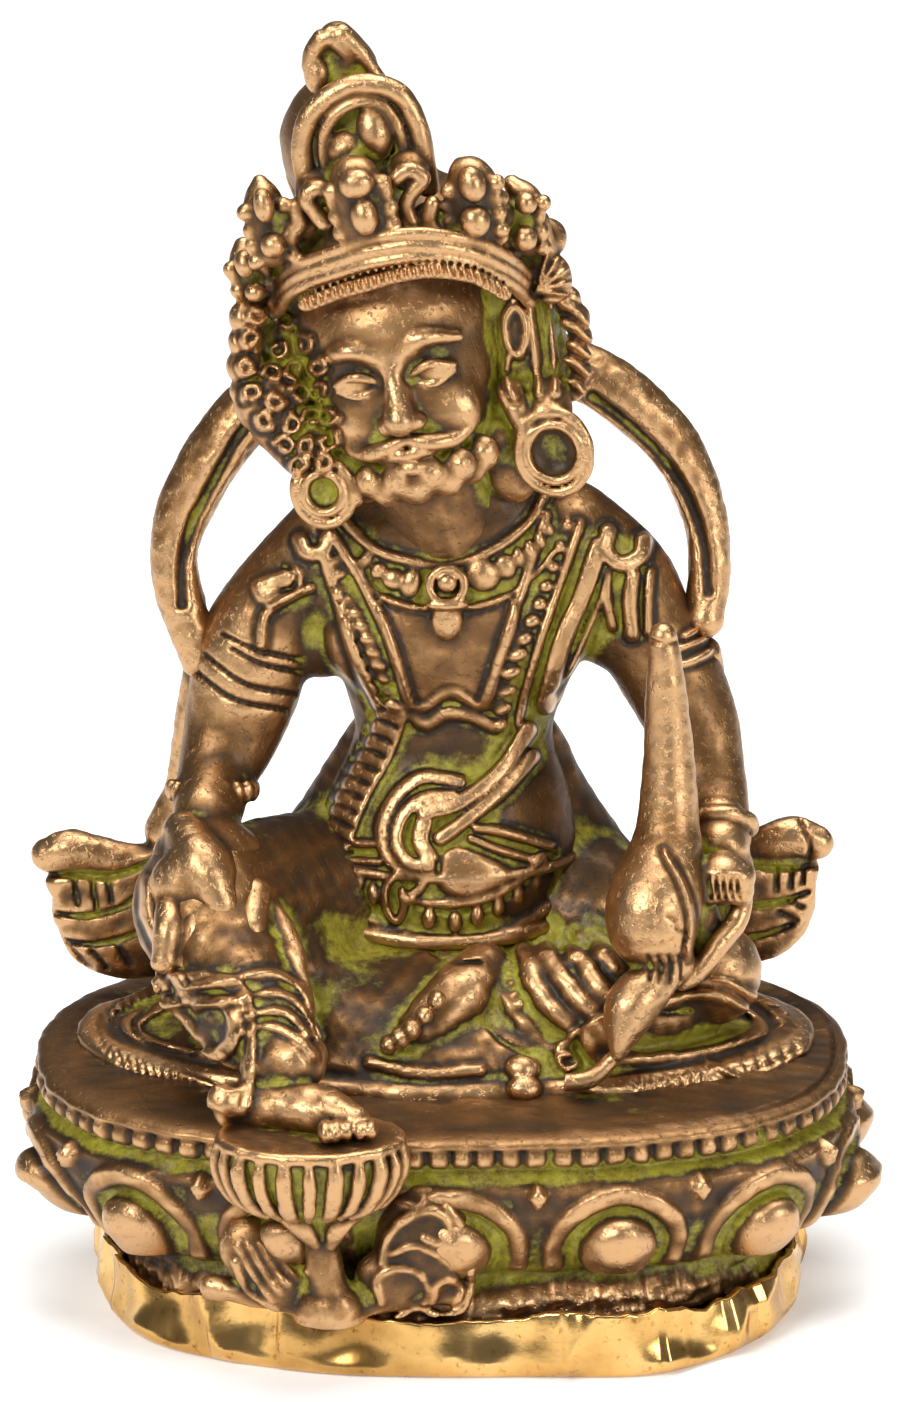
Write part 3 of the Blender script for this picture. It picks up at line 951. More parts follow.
# The collar, the strings, the sash and the cords, each with its width and how far it stands out.
BANDS = (
    ([(344, 520), (372, 548), (404, 560), (446, 566), (490, 552), (528, 524), (546, 492)], 0.91, 0.35),
    ([(356, 560), (376, 592), (404, 605), (436, 608), (466, 608), (498, 600), (530, 580),
      (554, 552)], 0.55, 0.40),
    ([(400, 704), (424, 710), (450, 694), (478, 708), (502, 702)], 0.78, 0.30),
    ([(330, 532), (352, 566), (374, 606), (392, 648), (408, 706)], 0.98, 0.50),
    ([(325, 560), (338, 600), (352, 648), (364, 676), (378, 706)], 1.04, 0.45),
    ([(546, 516), (530, 566), (512, 620), (496, 672), (486, 704)], 0.98, 0.42),
    ([(580, 524), (562, 578), (542, 636), (526, 690), (518, 726)], 0.85, 0.50),
    ([(600, 546), (582, 596), (562, 644), (546, 704)], 1.62, 0.75),
    ([(612, 560), (600, 600), (580, 650), (558, 700)], 0.72, 0.40),
    ([(300, 540), (306, 552), (322, 552), (328, 538)], 1.30, 0.45),
    ([(310, 588), (278, 604), (264, 618), (262, 646)], 0.85, 0.45),
    ([(608, 532), (606, 550), (620, 564), (640, 556), (644, 540)], 1.43, 0.85),
    ([(608, 572), (606, 598), (612, 626)], 0.91, 0.40),
    ([(633, 574), (630, 602), (632, 634)], 1.23, 0.70),
    ([(650, 572), (648, 602), (648, 632)], 0.72, 0.45),
    ([(392, 716), (378, 752), (352, 798), (336, 842)], 2.47, 0.50),
    ([(528, 730), (502, 770), (460, 802), (424, 812)], 1.49, 1.05),
    ([(532, 756), (504, 788), (468, 818), (440, 838)], 1.37, 0.90),
    ([(460, 782), (422, 778), (394, 800), (382, 832), (392, 862), (420, 874)], 1.30, 0.65),
    ([(452, 796), (424, 798), (402, 816), (396, 842), (408, 862), (428, 866)], 1.30, 0.95),
    ([(424, 822), (420, 840), (428, 856)], 1.62, 0.85),
    ([(476, 828), (504, 832), (550, 846)], 0.91, 0.75),
    ([(470, 838), (506, 852), (552, 864)], 0.78, 0.65),
    ([(314, 832), (344, 842), (378, 844)], 0.78, 0.50),
    ([(322, 852), (348, 860), (380, 862)], 0.78, 0.50),
    ([(398, 872), (386, 888), (386, 908), (396, 922), (404, 908), (402, 890)], 0.78, 0.85),
    ([(430, 872), (418, 890), (404, 898)], 0.98, 0.60),
    ([(410, 716), (426, 724), (446, 714), (470, 716), (496, 728)], 1.04, 0.25),
)
for route, wide, rise in BANDS:
    body.draw(route, wide, rise)
body.raise_patch(BELT_KNOT, 0.45, 0.8)
body.raise_patch(SLEEVE_KNOT, 0.5, 0.5)
body.draw(SLEEVE_SLIT, 0.4, -0.4)
RIGHT_ARMLETS = ([(222, 634), (258, 650), (302, 660)], [(204, 654), (246, 684), (296, 694)],
                 [(188, 664), (232, 698), (286, 710)], [(232, 648), (262, 664), (300, 672)])
LEFT_ARMLETS = ([(676, 650), (700, 640), (722, 622)], [(672, 668), (700, 658), (724, 640)],
                [(686, 636), (706, 624), (722, 606)])
for route in RIGHT_ARMLETS:
    body.draw(route, 0.34, -0.36)
for route in LEFT_ARMLETS:
    body.draw(route, 0.5, 0.35)
# Cross cuts in the strings and in the strand down the belly, with their pitch and the way they run.
CROSS_CUTS = (([(340, 586), (352, 612), (368, 648), (382, 682), (390, 706)], 14.0, (9, -4)),
              ([(384, 722), (368, 758), (346, 798), (338, 838)], 16.0, (13, 6)))
BELT_SEAM = ((424, 906), (456, 912), (500, 900), (540, 872), (556, 852))
for route, pitch, half in CROSS_CUTS:
    for spot in spread(route, pitch):
        body.draw([spot - half, spot, spot + half], 0.3, -0.34)
body.draw(BELT_SEAM, 0.5, -0.45)
body.chase()
# The beads of both strings, of the necklace with its pendant, and of the belt, and the belt's cords.
RIGHT_STRING = ((334, 560), (345, 586), (358, 616), (374, 650), (388, 684), (394, 704))
LEFT_STRING = (((567, 524), 0.42), ((560, 546), 0.45), ((553, 566), 0.5), ((546, 586), 0.55),
               ((539, 604), 0.6), ((531, 621), 0.68), ((524, 638), 0.72), ((517, 655), 0.8),
               ((511, 672), 0.85), ((506, 690), 0.85), ((502, 708), 0.8), ((500, 724), 0.6))
NECKLACE = (((366, 560), (0.6, 0.6, 0.9), 30), ((379, 571), (0.7, 0.6, 0.8), 30),
            ((395, 580), (1.0, 0.7, 0.9), 20), ((411, 584), (0.9, 0.8, 1.3), 15),
            ((481, 576), (1.45, 0.8, 1.35), 0), ((505, 566), (0.85, 0.7, 1.0), -15),
            ((519, 557), (0.5, 0.6, 0.9), -15), ((530, 549), (0.45, 0.6, 0.8), -20),
            ((540, 540), (0.42, 0.55, 0.7), -20), ((549, 530), (0.4, 0.5, 0.6), -20),
            ((447, 586), (1.5, 0.7, 1.5), 0), ((447, 620), (1.2, 0.7, 1.5), 0),
            ((447, 604), (1.6, 0.7, 0.5), 0))
PENDANT, PENDANT_STONE = (447, 584), (447, 583)
BELT_DROPS = ((360, 880), (374, 893), (429, 917), (455, 921), (477, 915), (498, 904), (517, 892), (535, 878))
BELT_CORDS = (([(306, 884), (346, 908), (400, 930), (450, 940), (504, 930), (542, 910), (574, 878)], 0.5),
              ([(404, 898), (440, 903), (484, 898), (518, 880), (540, 856)], 0.42))
body.beads(RIGHT_STRING, (0.72, 0.55, 0.5), 14.0, soft=0.25)
for pixel, wide in LEFT_STRING:
    body.stud(pixel, (wide, 0.6, 0.5), lean=-20)
for pixel, radii, lean in NECKLACE:
    body.stud(pixel, radii, lean=lean)
body.ring(body.touch([PENDANT])[0] + [0, -0.3, 0], 1.25, 1.25, 0.34, turned_by("X", 80))
body.stud(PENDANT_STONE, (0.75, 0.6, 0.75), sink=-0.3)
for pixel in BELT_DROPS:
    body.stud(pixel, (0.5, 0.7, 0.95))
for route, girth in BELT_CORDS:
    body.laid(route, girth)
body.ring((-0.4, 6.5, 12.4), 9.8, 8.1, 0.35, turned_by("X", -3))
body.ring((-0.4, 6.4, 8.8), 9.5, 8.0, 0.6, turned_by("X", 6))
body.roughen(SEED + 10, ((3.0, 1.0), (1.2, 0.5)), 0.05)
body.cast("torso_and_arms", 160000)

# The left hand holds the mongoose by the neck. Its tail stands up along the forearm, and its pointed
# head hangs down to spit out the jewels. It is the most rubbed place, and so it is the brightest.
beast = Wax((8, -16, 18.6), (25.5, 2.5, 53), 0.17)
beast.shift = lap.shift
BEAST_TRUNK = ((667, 858), (658, 890), (652, 922), (662, 950))
BEAST_NECK = ((672, 962), (664, 972))
BEAST_HEAD = ((650, 984), (632, 1006), (622, 1034), (618, 1056))
BEAST_EAR = (656, 992)
beast.limb([(15.2, -4.0, 32.0), (15.4, -4.0, 29.0), (15.6, -4.1, 25.0), (15.7, -4.6, 21.0),
            (15.6, -5.2, 17.8), (15.5, -6.0, 15.4)], [1.0, 1.35, 1.7, 2.0, 2.3, 2.6])
beast.limb(beast.route(BEAST_TRUNK, (-6.0, -7.2, -8.4, -8.6)), [2.4, 3.35, 3.3, 2.2], soft=1.0)
beast.limb(beast.route(BEAST_NECK, (-8.8, -9.4)), [1.7, 1.5], soft=0.4)
beast.limb(beast.route(BEAST_HEAD, (-10.2, -11.2, -12.2, -13.0)), [1.75, 1.95, 1.2, 0.45], soft=0.3)
beast.ball(beast.at(BEAST_EAR, -10.6), (0.8, 0.8, 0.9), soft=0.3)
beast.limb([(11.8, -11.9, 2.9), (10.0, -12.6, 1.5), (6.6, -13.2, 1.3)], [0.55, 0.7, 0.6], soft=0.4)
# The fist, and the palm's edge that runs round under it.
beast.ball((19.4, -1.8, 13.6), (2.5, 2.8, 2.6), soft=0.4)
beast.limb([(19.3, -0.2, 16.6), (19.4, -2.0, 15.4)], [2.1, 2.2], soft=0.3)
KNUCKLES = ((706, 876), (722, 871), (739, 876))
PALM_EDGE = ((743, 892), (738, 918), (716, 948), (696, 974), (682, 984))
THUMB = ((700, 915), (704, 940), (694, 960))
fist = beast.route(KNUCKLES, -6.2)
beast.limb(fist, [1.3, 1.45, 1.2], soft=0.3, flat=((0, 1, 0), 0.75))
beast.limb([point + [0, -0.2, -1.0] for point in fist], [1.15, 1.2, 1.1], soft=0.2, flat=((0, 1, 0), 0.8))
beast.limb(beast.route(PALM_EDGE, (-5.4, -6.2, -7.6, -8.6, -9.0)), [0.75, 0.8, 0.8, 0.7, 0.5], soft=0.2)
beast.limb(beast.route(THUMB, -5.6), [1.4, 1.3, 1.1], soft=0.4)
beast.ring((19.4, -0.1, 16.4), 2.35, 2.35, 0.6, turned_by("X", -40))
# Lines on the mongoose and the fist: the flank, then cuts that are repeated a step of pixels further on.
FLANK = ((664, 852), (682, 882), (692, 918), (688, 956))
FINGER_CUT, FINGER_STEP = np.array([(708, 876), (709, 884), (711, 898)]), (7, 0)
TAIL_CUT = ((648, 640), (664, 644), (680, 640))
COLLAR_CUT, COLLAR_STEP = np.array([(648, 956), (651, 968), (650, 980)]), (10, 0)
HAIR_CUT, HAIR_STEP = np.array([(668, 916), (678, 922)]), np.array([(8, 12), (8, 10)])
beast.draw(FLANK, 0.5, 0.35)
for i in range(5):
    beast.draw(FINGER_CUT + i * np.array(FINGER_STEP), 0.24, -0.3)
beast.draw(TAIL_CUT, 0.3, -0.25)
for i in range(4):
    beast.draw(COLLAR_CUT + i * np.array(COLLAR_STEP), 0.3, -0.25)
for i in range(3):
    beast.draw(HAIR_CUT + i * HAIR_STEP, 0.2, -0.15)
beast.chase()
beast.roughen(SEED + 11, ((2.5, 1.0), (0.9, 0.4)), 0.04)
beast.cast("mongoose_and_hand", 70000)

# The long scarf arches behind the head, drops behind both arms and ends beside each hip in a pleated
# fan. It is a broad band with a channel along it.
scarf = Wax((-34, 2, 19), (32, 16, 70), 0.22)
scarf.shift = lap.shift
arch = [(-18.0, 6.6, 27.0), (-19.3, 7.4, 30.5), (-20.0, 8.2, 34.0), (-19.2, 8.8, 37.6), (-16.9, 9.2, 41.8),
        (-13.9, 9.6, 45.2), (-9, 10.4, 47.8), (-2, 11.4, 49), (5, 10.6, 49.0), (10.4, 9.4, 47.3),
        (14.4, 9.2, 44.3), (17.0, 9, 40.9), (18.4, 8.4, 37.2), (18.8, 7.6, 33.6), (18.4, 6.6, 30.0)]
scarf.limb(arch, [1.6, 1.7, 1.75, 2.0, 2.2, 2.2, 2.0, 1.8, 1.9, 2.1, 2.1, 1.85, 1.65, 1.55, 1.5])
# For each side: the places across of the end behind the arm, and the fan's root, height and length.
SCARF_ENDS = ((-1, (17.6, 18.7, 19.3, 20.6), 21.2, 11.3, 8.6), (1, (18.2, 19.0, 19.8, 20.2), 19.8, 12.3, 7.4))
for side, drop, reach, high, far in SCARF_ENDS:
    scarf.limb([(side * x, y, z) for x, y, z in zip(drop, (7.2, 8.4, 9.0, 9.4), (27.0, 21.6, 16.4, 12.8))],
               [1.5, 1.4, 1.4, 1.7])
    root = np.array([side * (reach - 1.2), 9.4, high - 1.6])
    for i in range(6):
        angle = math.radians(-6 - 15.5 * i)
        length = (far - 0.1) * (1 + 0.01 * i - 0.012 * i * i)
        tip = root + np.array([side * math.cos(angle), 0.02, math.sin(angle)]) * length
        scarf.limb([root, (root + tip) / 2, tip], [1.6, 1.45, 1.15], soft=1.1)
    scarf.ball(root + [side * 3.4, 0.1, -3.6], (far * 0.62, 1.5, 4.6), turned_by("Y", side * 24), soft=1.2)
    brow = ((0.2, 1.6), (3.2, 0.9), (far - 1.2, 1.7), (far + 0.8, 1.3))
    scarf.limb([root + [side * x, -0.3, z] for x, z in brow], [1.2, 1.2, 1.5, 1.25], soft=0.35)
    foot = root + [-side * 0.2, 0.1, -7.2]
    scarf.limb([root, foot, foot + [-side * 0.4, 0, -4.4]], [1.6, 1.8, 2.2], soft=0.5)
CHANNELS = ([(262, 408), (236, 440), (212, 484), (192, 524), (182, 566), (182, 604)],
            [(592, 396), (640, 434), (680, 482), (702, 536), (708, 592)])
FAN_PLEATS = ([(36, 878), (70, 874), (110, 876), (152, 862)], [(752, 866), (790, 868), (826, 864)],
              [(50, 912), (84, 916), (120, 908), (150, 890)], [(62, 940), (96, 944), (130, 936), (152, 922)],
              [(750, 906), (780, 902), (808, 892)], [(748, 938), (772, 932), (792, 924)])
FAN_CUTS = ([(74, 876), (78, 904)], [(92, 878), (97, 908)], [(108, 878), (112, 902)],
            [(70, 946), (90, 968)], [(92, 950), (108, 968)], [(118, 944), (130, 964)],
            [(776, 868), (776, 890)], [(792, 868), (790, 888)], [(804, 868), (802, 884)],
            [(786, 900), (804, 908)], [(778, 912), (796, 920)])
FAN_ROLL = ((800, 820), (810, 844), (806, 864))
for route in CHANNELS:
    scarf.draw(route, 1.25, -0.6)
for route in FAN_PLEATS:
    scarf.draw(route, 0.5, -0.55)
for route in FAN_CUTS:
    scarf.draw(route, 0.34, -0.34)
scarf.draw(FAN_ROLL, 0.4, -0.35)
scarf.chase()
scarf.roughen(SEED + 12, ((3.0, 1.0), (1.0, 0.6)), 0.09)
scarf.cast("scarf", 85000)

# The head leans and turns to its right. The face is calm, with a curled moustache and a short beard of
# curls; round it stands the hair in tight locks, and big round earrings hang from long ears.
head = Wax((-20, -9, 53), (13.5, 18, 86), 0.17)
head.turn = turned_by("Z", -5) @ turned_by("Y", -12) @ turned_by("X", -4)
head.shift = np.array([-3.4, 4.0, 50.2 + THRONE_TOP])
head.ball((0, 1.8, 2.4), (7.6, 8.0, 8.6))
head.ball((0, -0.2, -2.0), (6.5, 6.3, 7.2), soft=1.2)
head.ball((0, -0.8, 3.2), (6.4, 5.9, 4.6), soft=1.0)
head.ball((0, -4.4, -7.6), (2.5, 2.1, 1.7), soft=1.2)
head.limb([(0, -5.7, 1.9), (0, -6.5, -0.8), (0, -7.3, -2.9)], [0.75, 0.8, 1.15], soft=0.9)
for side in (-1, 1):
    head.ball((side * 3.2, -4.6, -3.4), (2.1, 1.2, 1.9), soft=1.2)
    head.ball((side * 2.8, -6.6, 0.0), (2.0, 0.8, 1.0), soft=0.6, cut=True)
    head.ball((side * 2.75, -4.9, -0.15), (1.75, 1.35, 1.05), soft=0.1)
    head.limb([(side * 1.1, -6.0, -0.1), (side * 2.7, -6.25, 0.55), (side * 4.4, -5.4, 0.05)],
              [0.25, 0.36, 0.2], soft=0.15)
    head.limb([(side * 1.2, -5.9, -0.55), (side * 2.7, -6.05, -0.95), (side * 4.3, -5.3, -0.45)],
              [0.2, 0.28, 0.2], soft=0.12)
    head.limb([(side * 0.8, -6.1, 1.7), (side * 2.8, -6.25, 2.5), (side * 5.0, -5.0, 1.9)],
              [0.5, 0.65, 0.35], soft=0.5)
    head.ball((side * 1.05, -6.7, -3.3), (0.75, 0.85, 0.65), soft=0.35)
    head.limb([(side * 0.3, -6.6, -4.5), (side * 1.8, -6.4, -5.0), (side * 3.5, -5.4, -5.1),
               (side * 4.8, -4.4, -4.2), (side * 4.4, -4.9, -3.2), (side * 3.8, -5.3, -3.8)],
              [0.5, 0.68, 0.6, 0.5, 0.45, 0.3], soft=0.2)
    head.limb([(side * 7.0, 0.4, 4.0), (side * 7.9, -0.4, 2.2), (side * 7.9, -0.6, -0.2),
               (side * 7.5, -0.6, -2.0)], [0.6, 0.7, 0.6, 0.5], soft=0.3)
head.ball((0, -6.1, 3.6), (0.6, 0.5, 1.1), soft=0.25)
head.limb([(-2.0, -6.0, -5.75), (-0.7, -6.7, -5.5), (0, -6.65, -5.65), (0.7, -6.7, -5.5), (2.0, -6.0, -5.75)],
          [0.25, 0.5, 0.45, 0.5, 0.25], soft=0.15)
head.limb([(-1.5, -6.0, -6.45), (0, -6.6, -6.6), (1.5, -6.0, -6.45)], [0.3, 0.55, 0.3], soft=0.15)
# The beard is two rows of curls along the jaw.
for row, (count, wide, drop) in enumerate(((8, 6.0, -6.2), (7, 4.9, -7.9))):
    for i in range(count):
        angle = math.radians(-76 + 152 * i / (count - 1))
        spot = np.array([wide * math.sin(angle), -0.7 - (5.2 - 0.3 * row) * math.cos(angle),
                         drop - 1.2 * math.cos(angle) + 0.9 * row])
        head.ball(spot, (1.2, 1.0, 1.3), soft=0.5)
        head.ball(spot + [0.1, -0.75, 0.1], (0.55, 0.35, 0.5), soft=0.15)
head.limb([(0.2, 4.0, -14), (0, 2.0, -8)], [4.6, 4.8], soft=1.0)
# Each earring: its middle, depth, half width and height, and the half width of its dish.
EARRINGS = (((324, 492), -1.2, 2.05, 2.35, 1.05), ((554, 452), -0.4, 2.5, 2.95, 1.6))
NAPE_HAIR, EARRING_BEAD = (508, 446), (355, 492)
EAR_LOBE = ((510, 392), (518, 412), (528, 432))
head.ball(head.at(NAPE_HAIR, 3.0), (2.2, 2.4, 4.2), soft=0.6)
for pixel, deep, wide, tall, dish in EARRINGS:
    spot = head.at(pixel, deep)
    head.ball(spot + [0, 0.9, 0], (wide, 1.3, tall), soft=0.3)
    head.ball(spot + [0, -0.7, -0.1], (dish + 0.25, 1.2, dish + 0.3), soft=0.1, cut=True)
    head.ring(spot, wide, tall, 0.42, turned_by("X", 90), soft=0.12)
    head.ring(spot + [0, -0.25, 0], dish + 0.35, dish + 0.45, 0.36, turned_by("X", 90), soft=0.12)
    head.ball(spot + [0, 2.0, tall], (1.7, 2.2, 2.2), soft=0.5)
head.ball(head.at(EARRING_BEAD, -1.0), (0.75, 0.9, 1.1), soft=0.2)
head.limb(head.route(EAR_LOBE, (0.8, 0.6, 0.2)), [1.0, 0.9, 0.8], soft=0.4)
# Hair, in locks on the sides and in plain strands down the back.
for side in (-1, 1):
    head.ball((side * 8.5, 3.8, 0.4), (2.9, 5.4, 7.6), soft=0.8)
    for row in range(7):
        for column in range(1, 4):
            z = 6.4 - 2.0 * row
            bulge = 11.3 - 0.10 * (row - 2.2) ** 2
            x = side * (bulge - 0.35 * (column - 0.6) ** 2)
            y = 2.6 * column + 0.9 * (row % 2)
            head.limb([(x - side * 1.8, y - 1.0, z + 0.8), (x - side * 0.6, y - 0.2, z + 0.3),
                       (x - side * 0.8, y + 0.6, z - 0.6)], [0.8, 1.0, 0.7], soft=0.45)
JAW_HAIR = ((270, 398), (294, 432), (326, 456))
LOCKS = (((248, 318), 3.0, 1.4), ((246, 342), 3.0, 1.3), ((245, 366), 3.0, 1.4), ((248, 390), 3.2, 1.3),
         ((253, 412), 3.4, 1.2), ((268, 432), 3.4, 1.1), ((566, 300), 4.0, 1.1), ((575, 318), 4.0, 1.1),
         ((580, 336), 4.0, 0.9), ((577, 354), 4.0, 0.95), ((580, 371), 4.0, 0.9), ((572, 388), 4.0, 1.0))
head.limb(head.route(JAW_HAIR, (3.5, 3.0, 2.5)), [2.6, 2.4, 2.6], soft=0.8)
for pixel, deep, wide in LOCKS:
    head.ball(head.at(pixel, deep), wide, soft=0.25)
head.ball((0, 7.2, -1.6), (8.4, 3.8, 8.6), soft=1.0)
for column in range(11):
    x = -8.0 + 1.6 * column
    deep = 10.9 - 0.045 * x * x
    head.limb([(x * 0.8, deep - 2.2, 6.6), (x, deep - 0.2, 2.4), (x * 1.04, deep, -2.6),
               (x * 0.96, deep - 1.2, -7.4)], [0.6, 0.8, 0.85, 0.5], soft=0.15)
# Small curls over the hair at its right, each a hook of some pixels across, opening to one side.
CURLS = ((258, 314, 20), (284, 322, 200), (252, 340, 120), (278, 348, 320), (302, 344, 250), (248, 366, 40),
         (272, 374, 180), (296, 370, 90), (316, 366, 300), (252, 394, 150), (276, 400, 20), (300, 394, 220),
         (320, 392, 100), (266, 420, 60), (290, 424, 280), (312, 418, 170), (328, 414, 20), (284, 446, 200),
         (308, 446, 80), (328, 440, 320), (300, 466, 130), (322, 462, 260))
for x, y, start in CURLS:
    angles = np.radians(start + np.array([0, 70, 140, 210, 290]))
    reach = np.array([9.5, 9.5, 9, 7.5, 3.5])
    head.draw(np.column_stack([x + reach * np.cos(angles), y + reach * np.sin(angles)]), 0.55, 0.38)
# The ear's loop and the long strands and short locks behind it.
HAIR_LINES = (
    [(514, 304), (504, 320), (506, 344), (518, 356), (526, 338), (524, 316), (514, 304)],
    [(508, 356), (506, 376), (514, 398)], [(530, 306), (534, 340), (538, 392)],
    [(548, 300), (554, 344), (556, 392)], [(562, 302), (578, 312), (588, 324)],
    [(562, 322), (578, 330), (590, 340)], [(562, 342), (578, 348), (590, 356)],
    [(562, 360), (578, 366), (588, 374)], [(560, 378), (576, 384), (584, 392)],
)
for route in HAIR_LINES:
    head.draw(route, 0.75, 0.35)
head.chase()
head.roughen(SEED + 13, ((2.5, 1.0), (1.0, 0.5)), 0.04)
head.cast("head_and_hair", 140000)

# The crown is a band over the forehead with five jewelled leaves. The topknot rises out of it, with an
# arched niche in front of it and a finial like a flame on top.
crown = Wax((-20, -7, 70), (10.5, 17, 93.5), 0.165)
crown.turn, crown.shift = head.turn, head.shift
crown.ball((0, 2.6, 7.2), (8.9, 7.3, 6.2))
crown.ball((-0.7, 2.6, 15.6), (5.2, 5.4, 5.5), soft=1.0)
crown.limb([(-0.4, 3.0, 11), (-0.4, 3.0, 15.4)], [5.0, 4.7], soft=0.8)
# The band is three cords in front, one above the other, and one behind, over a ribbed strip.
BAND = np.array([(276, 312), (296, 290), (330, 276), (376, 262), (424, 257), (470, 264), (506, 280),
                 (530, 302)])
STRIP = ((306, 304), (352, 288), (400, 275), (440, 271), (478, 278), (504, 293))
STRIP_CUTS = ((306, 302), (352, 286), (400, 273), (440, 269), (478, 276), (504, 291))
for lift, girth in ((0, 0.5), (-12, 0.5), (-24, 0.45)):
    crown.limb(crown.route(BAND + [0, lift], (3.5, 0.6, -1.6, -3.2, -3.5, -2.6, -0.8, 2.5)), girth, soft=0.1)
behind = np.radians(np.linspace(95, 265, 9))
crown.limb([(9.2 * math.sin(angle), 2.0 - 8.5 * math.cos(angle), 3.6) for angle in behind], 0.9, soft=0.3)
crown.limb(crown.route(STRIP, (-1.2, -3.0, -3.7, -3.7, -3.0, -1.6)), 0.55, soft=0.1)
# Each leaf: its tip, the places of its two jewels, its depth, its width and the jewels' sizes.
LEAVES = (
    ((352, 168), (356, 184), (364, 216), -3.0, 1.7, (1.25, 1.0, 1.1), (1.0, 1.0, 1.4)),
    ((461, 166), (472, 184), (475, 221), -2.0, 1.55, (0.95, 1.0, 1.35), (1.1, 1.0, 1.2)),
    ((512, 184), (526, 203), (525, 238), 0.8, 1.0, (0.8, 0.9, 0.85), (0.85, 0.9, 0.95)),
    ((260, 183), (264, 206), (273, 246), 0.0, 1.2, (0.75, 0.9, 1.3), (0.9, 0.9, 0.9)),
    ((243, 246), (245, 264), (255, 292), 3.0, 0.9, (0.75, 0.9, 1.05), (0.75, 0.8, 0.75)),
)
for tip, upper, lower, deep, wide, high_jewel, low_jewel in LEAVES:
    crown.limb([crown.at(lower, deep + 1.3), crown.at(upper, deep + 1.4), crown.at(tip, deep + 1.7)],
               [wide + 0.35, wide + 0.25, 0.65], soft=0.4)
    for way in (-1, 1):
        side = np.array([way * (wide + 0.2), 0, 0])
        for pixel, lift, girth in ((lower, -0.9, 0.6), (lower, 0.3, 0.65), (lower, 1.4, 0.55),
                                   (upper, -0.2, 0.6)):
            crown.ball(crown.at(pixel, deep + 0.5) + side + [0, 0, lift], girth, soft=0.35)
    crown.ball(crown.at(upper, deep - 0.5), high_jewel, soft=0.1)
    crown.ball(crown.at(lower, deep - 0.6), low_jewel, soft=0.1)
# Scrolls between the leaves, and a small shell at the band's left end.
SCROLLS = (([(396, 178), (408, 170), (422, 178), (414, 190), (406, 206), (412, 222)], -1.2),
           ([(330, 190), (316, 188), (306, 198), (314, 210), (324, 222)], -0.6),
           ([(442, 236), (430, 222), (432, 204)], -1.4), ([(500, 236), (494, 216), (500, 198)], -1.0),
           ([(541, 220), (546, 238), (547, 254)], 3.2), ([(288, 236), (298, 222), (296, 206)], 0.2))
SHELL, SHELL_ROOT = (550, 278), (537, 291)
SHELL_TIPS = ((547, 254), (559, 257), (569, 267), (575, 281), (574, 296))
for route, deep in SCROLLS:
    crown.limb(crown.route(route, deep), 0.62, soft=0.2)
    crown.ball(crown.at(route[1], deep + 1.5), 1.5, soft=0.4)
crown.ball(crown.at(SHELL, 3.4), (1.6, 1.6, 1.9), soft=0.3)
for tip in SHELL_TIPS:
    half_way = ((SHELL_ROOT[0] + tip[0]) / 2, (SHELL_ROOT[1] + tip[1]) / 2)
    crown.draw([SHELL_ROOT, half_way, tip], 0.4, 0.35, taper=True)
# The niche's two arches with a wall behind them, the small seated shape in it, and the finial's flames.
OUTER_ARCH = ((310, 188), (302, 150), (310, 116), (336, 92), (366, 84), (398, 94), (416, 122), (424, 158),
              (428, 186))
INNER_ARCH = ((330, 182), (323, 146), (332, 118), (356, 102), (384, 106), (400, 134), (404, 168))
NICHE_WALL, NICHE_BODY, NICHE_KNEE = (360, 132), (374, 132), (346, 150)
FINIAL, FINIAL_SIDE = ((354, 94), (346, 64), (337, 39)), (318, 74)
FLAMES = ([(331, 36), (344, 48), (350, 62), (340, 78)], [(342, 34), (358, 50), (370, 68), (382, 84)],
          [(322, 40), (313, 52), (310, 66)])
crown.limb(crown.route(OUTER_ARCH, 1.0), 0.8, soft=0.12)
crown.limb(crown.route(INNER_ARCH, 0.8), 0.52, soft=0.1)
crown.ball(crown.at(NICHE_WALL, 2.9), (4.1, 1.5, 3.6), soft=0.5)
crown.ball(crown.at(NICHE_BODY, 0.8), (1.3, 1.3, 2.1), soft=0.15)
crown.ball(crown.at(NICHE_KNEE, 0.8), (1.5, 1.4, 1.5), soft=0.15)
crown.limb(crown.route(FINIAL, (5.5, 5.2, 5.0)), [2.3, 2.1, 1.3], soft=0.5)
crown.ball(crown.at(FINIAL_SIDE, 3.8), (1.05, 1.1, 1.6), soft=0.15)
for route in FLAMES:
    crown.limb(crown.route(route, 3.6), [0.75, 0.7, 0.6, 0.55][:len(route)], soft=0.15)
for i in range(16):
    angle = math.radians(100 + 160 * i / 15)
    x, y = math.sin(angle), -math.cos(angle)
    crown.limb([(4.7 * x - 0.6, 3.0 + 4.9 * y, 11.0), (4.8 * x - 0.7, 3.0 + 4.6 * y, 15.2),
                (3.2 * x - 0.6, 3.0 + 3.2 * y, 19.0)], [0.5, 0.6, 0.3], soft=0.15)
for spot in spread(STRIP_CUTS, 8.0):
    crown.draw([spot + [-2, -8], spot, spot + [2, 8]], 0.28, -0.5)
crown.chase()
crown.roughen(SEED + 14, ((2.5, 1.0), (1.0, 0.5)), 0.04)
crown.cast("crown_and_topknot", 110000)

# Floor and light. The floor is pale and plain, and soft white panels light the object from its front
# left, from its right and from above.
bpy.ops.mesh.primitive_plane_add(size=6.0)
floor = bpy.context.object
floor.name = "floor"
floor_paint, links, shader, add = finish_nodes("pale_floor")
shader.inputs["Base Color"].default_value = (0.9, 0.9, 0.9, 1.0)
shader.inputs["Roughness"].default_value = 0.9
shader.inputs["Emission Color"].default_value = (1.0, 1.0, 1.0, 1.0)
shader.inputs["Emission Strength"].default_value = 0.25
floor.data.materials.append(floor_paint)
LIGHT_AIM = (0.0, 0.0, 0.05)


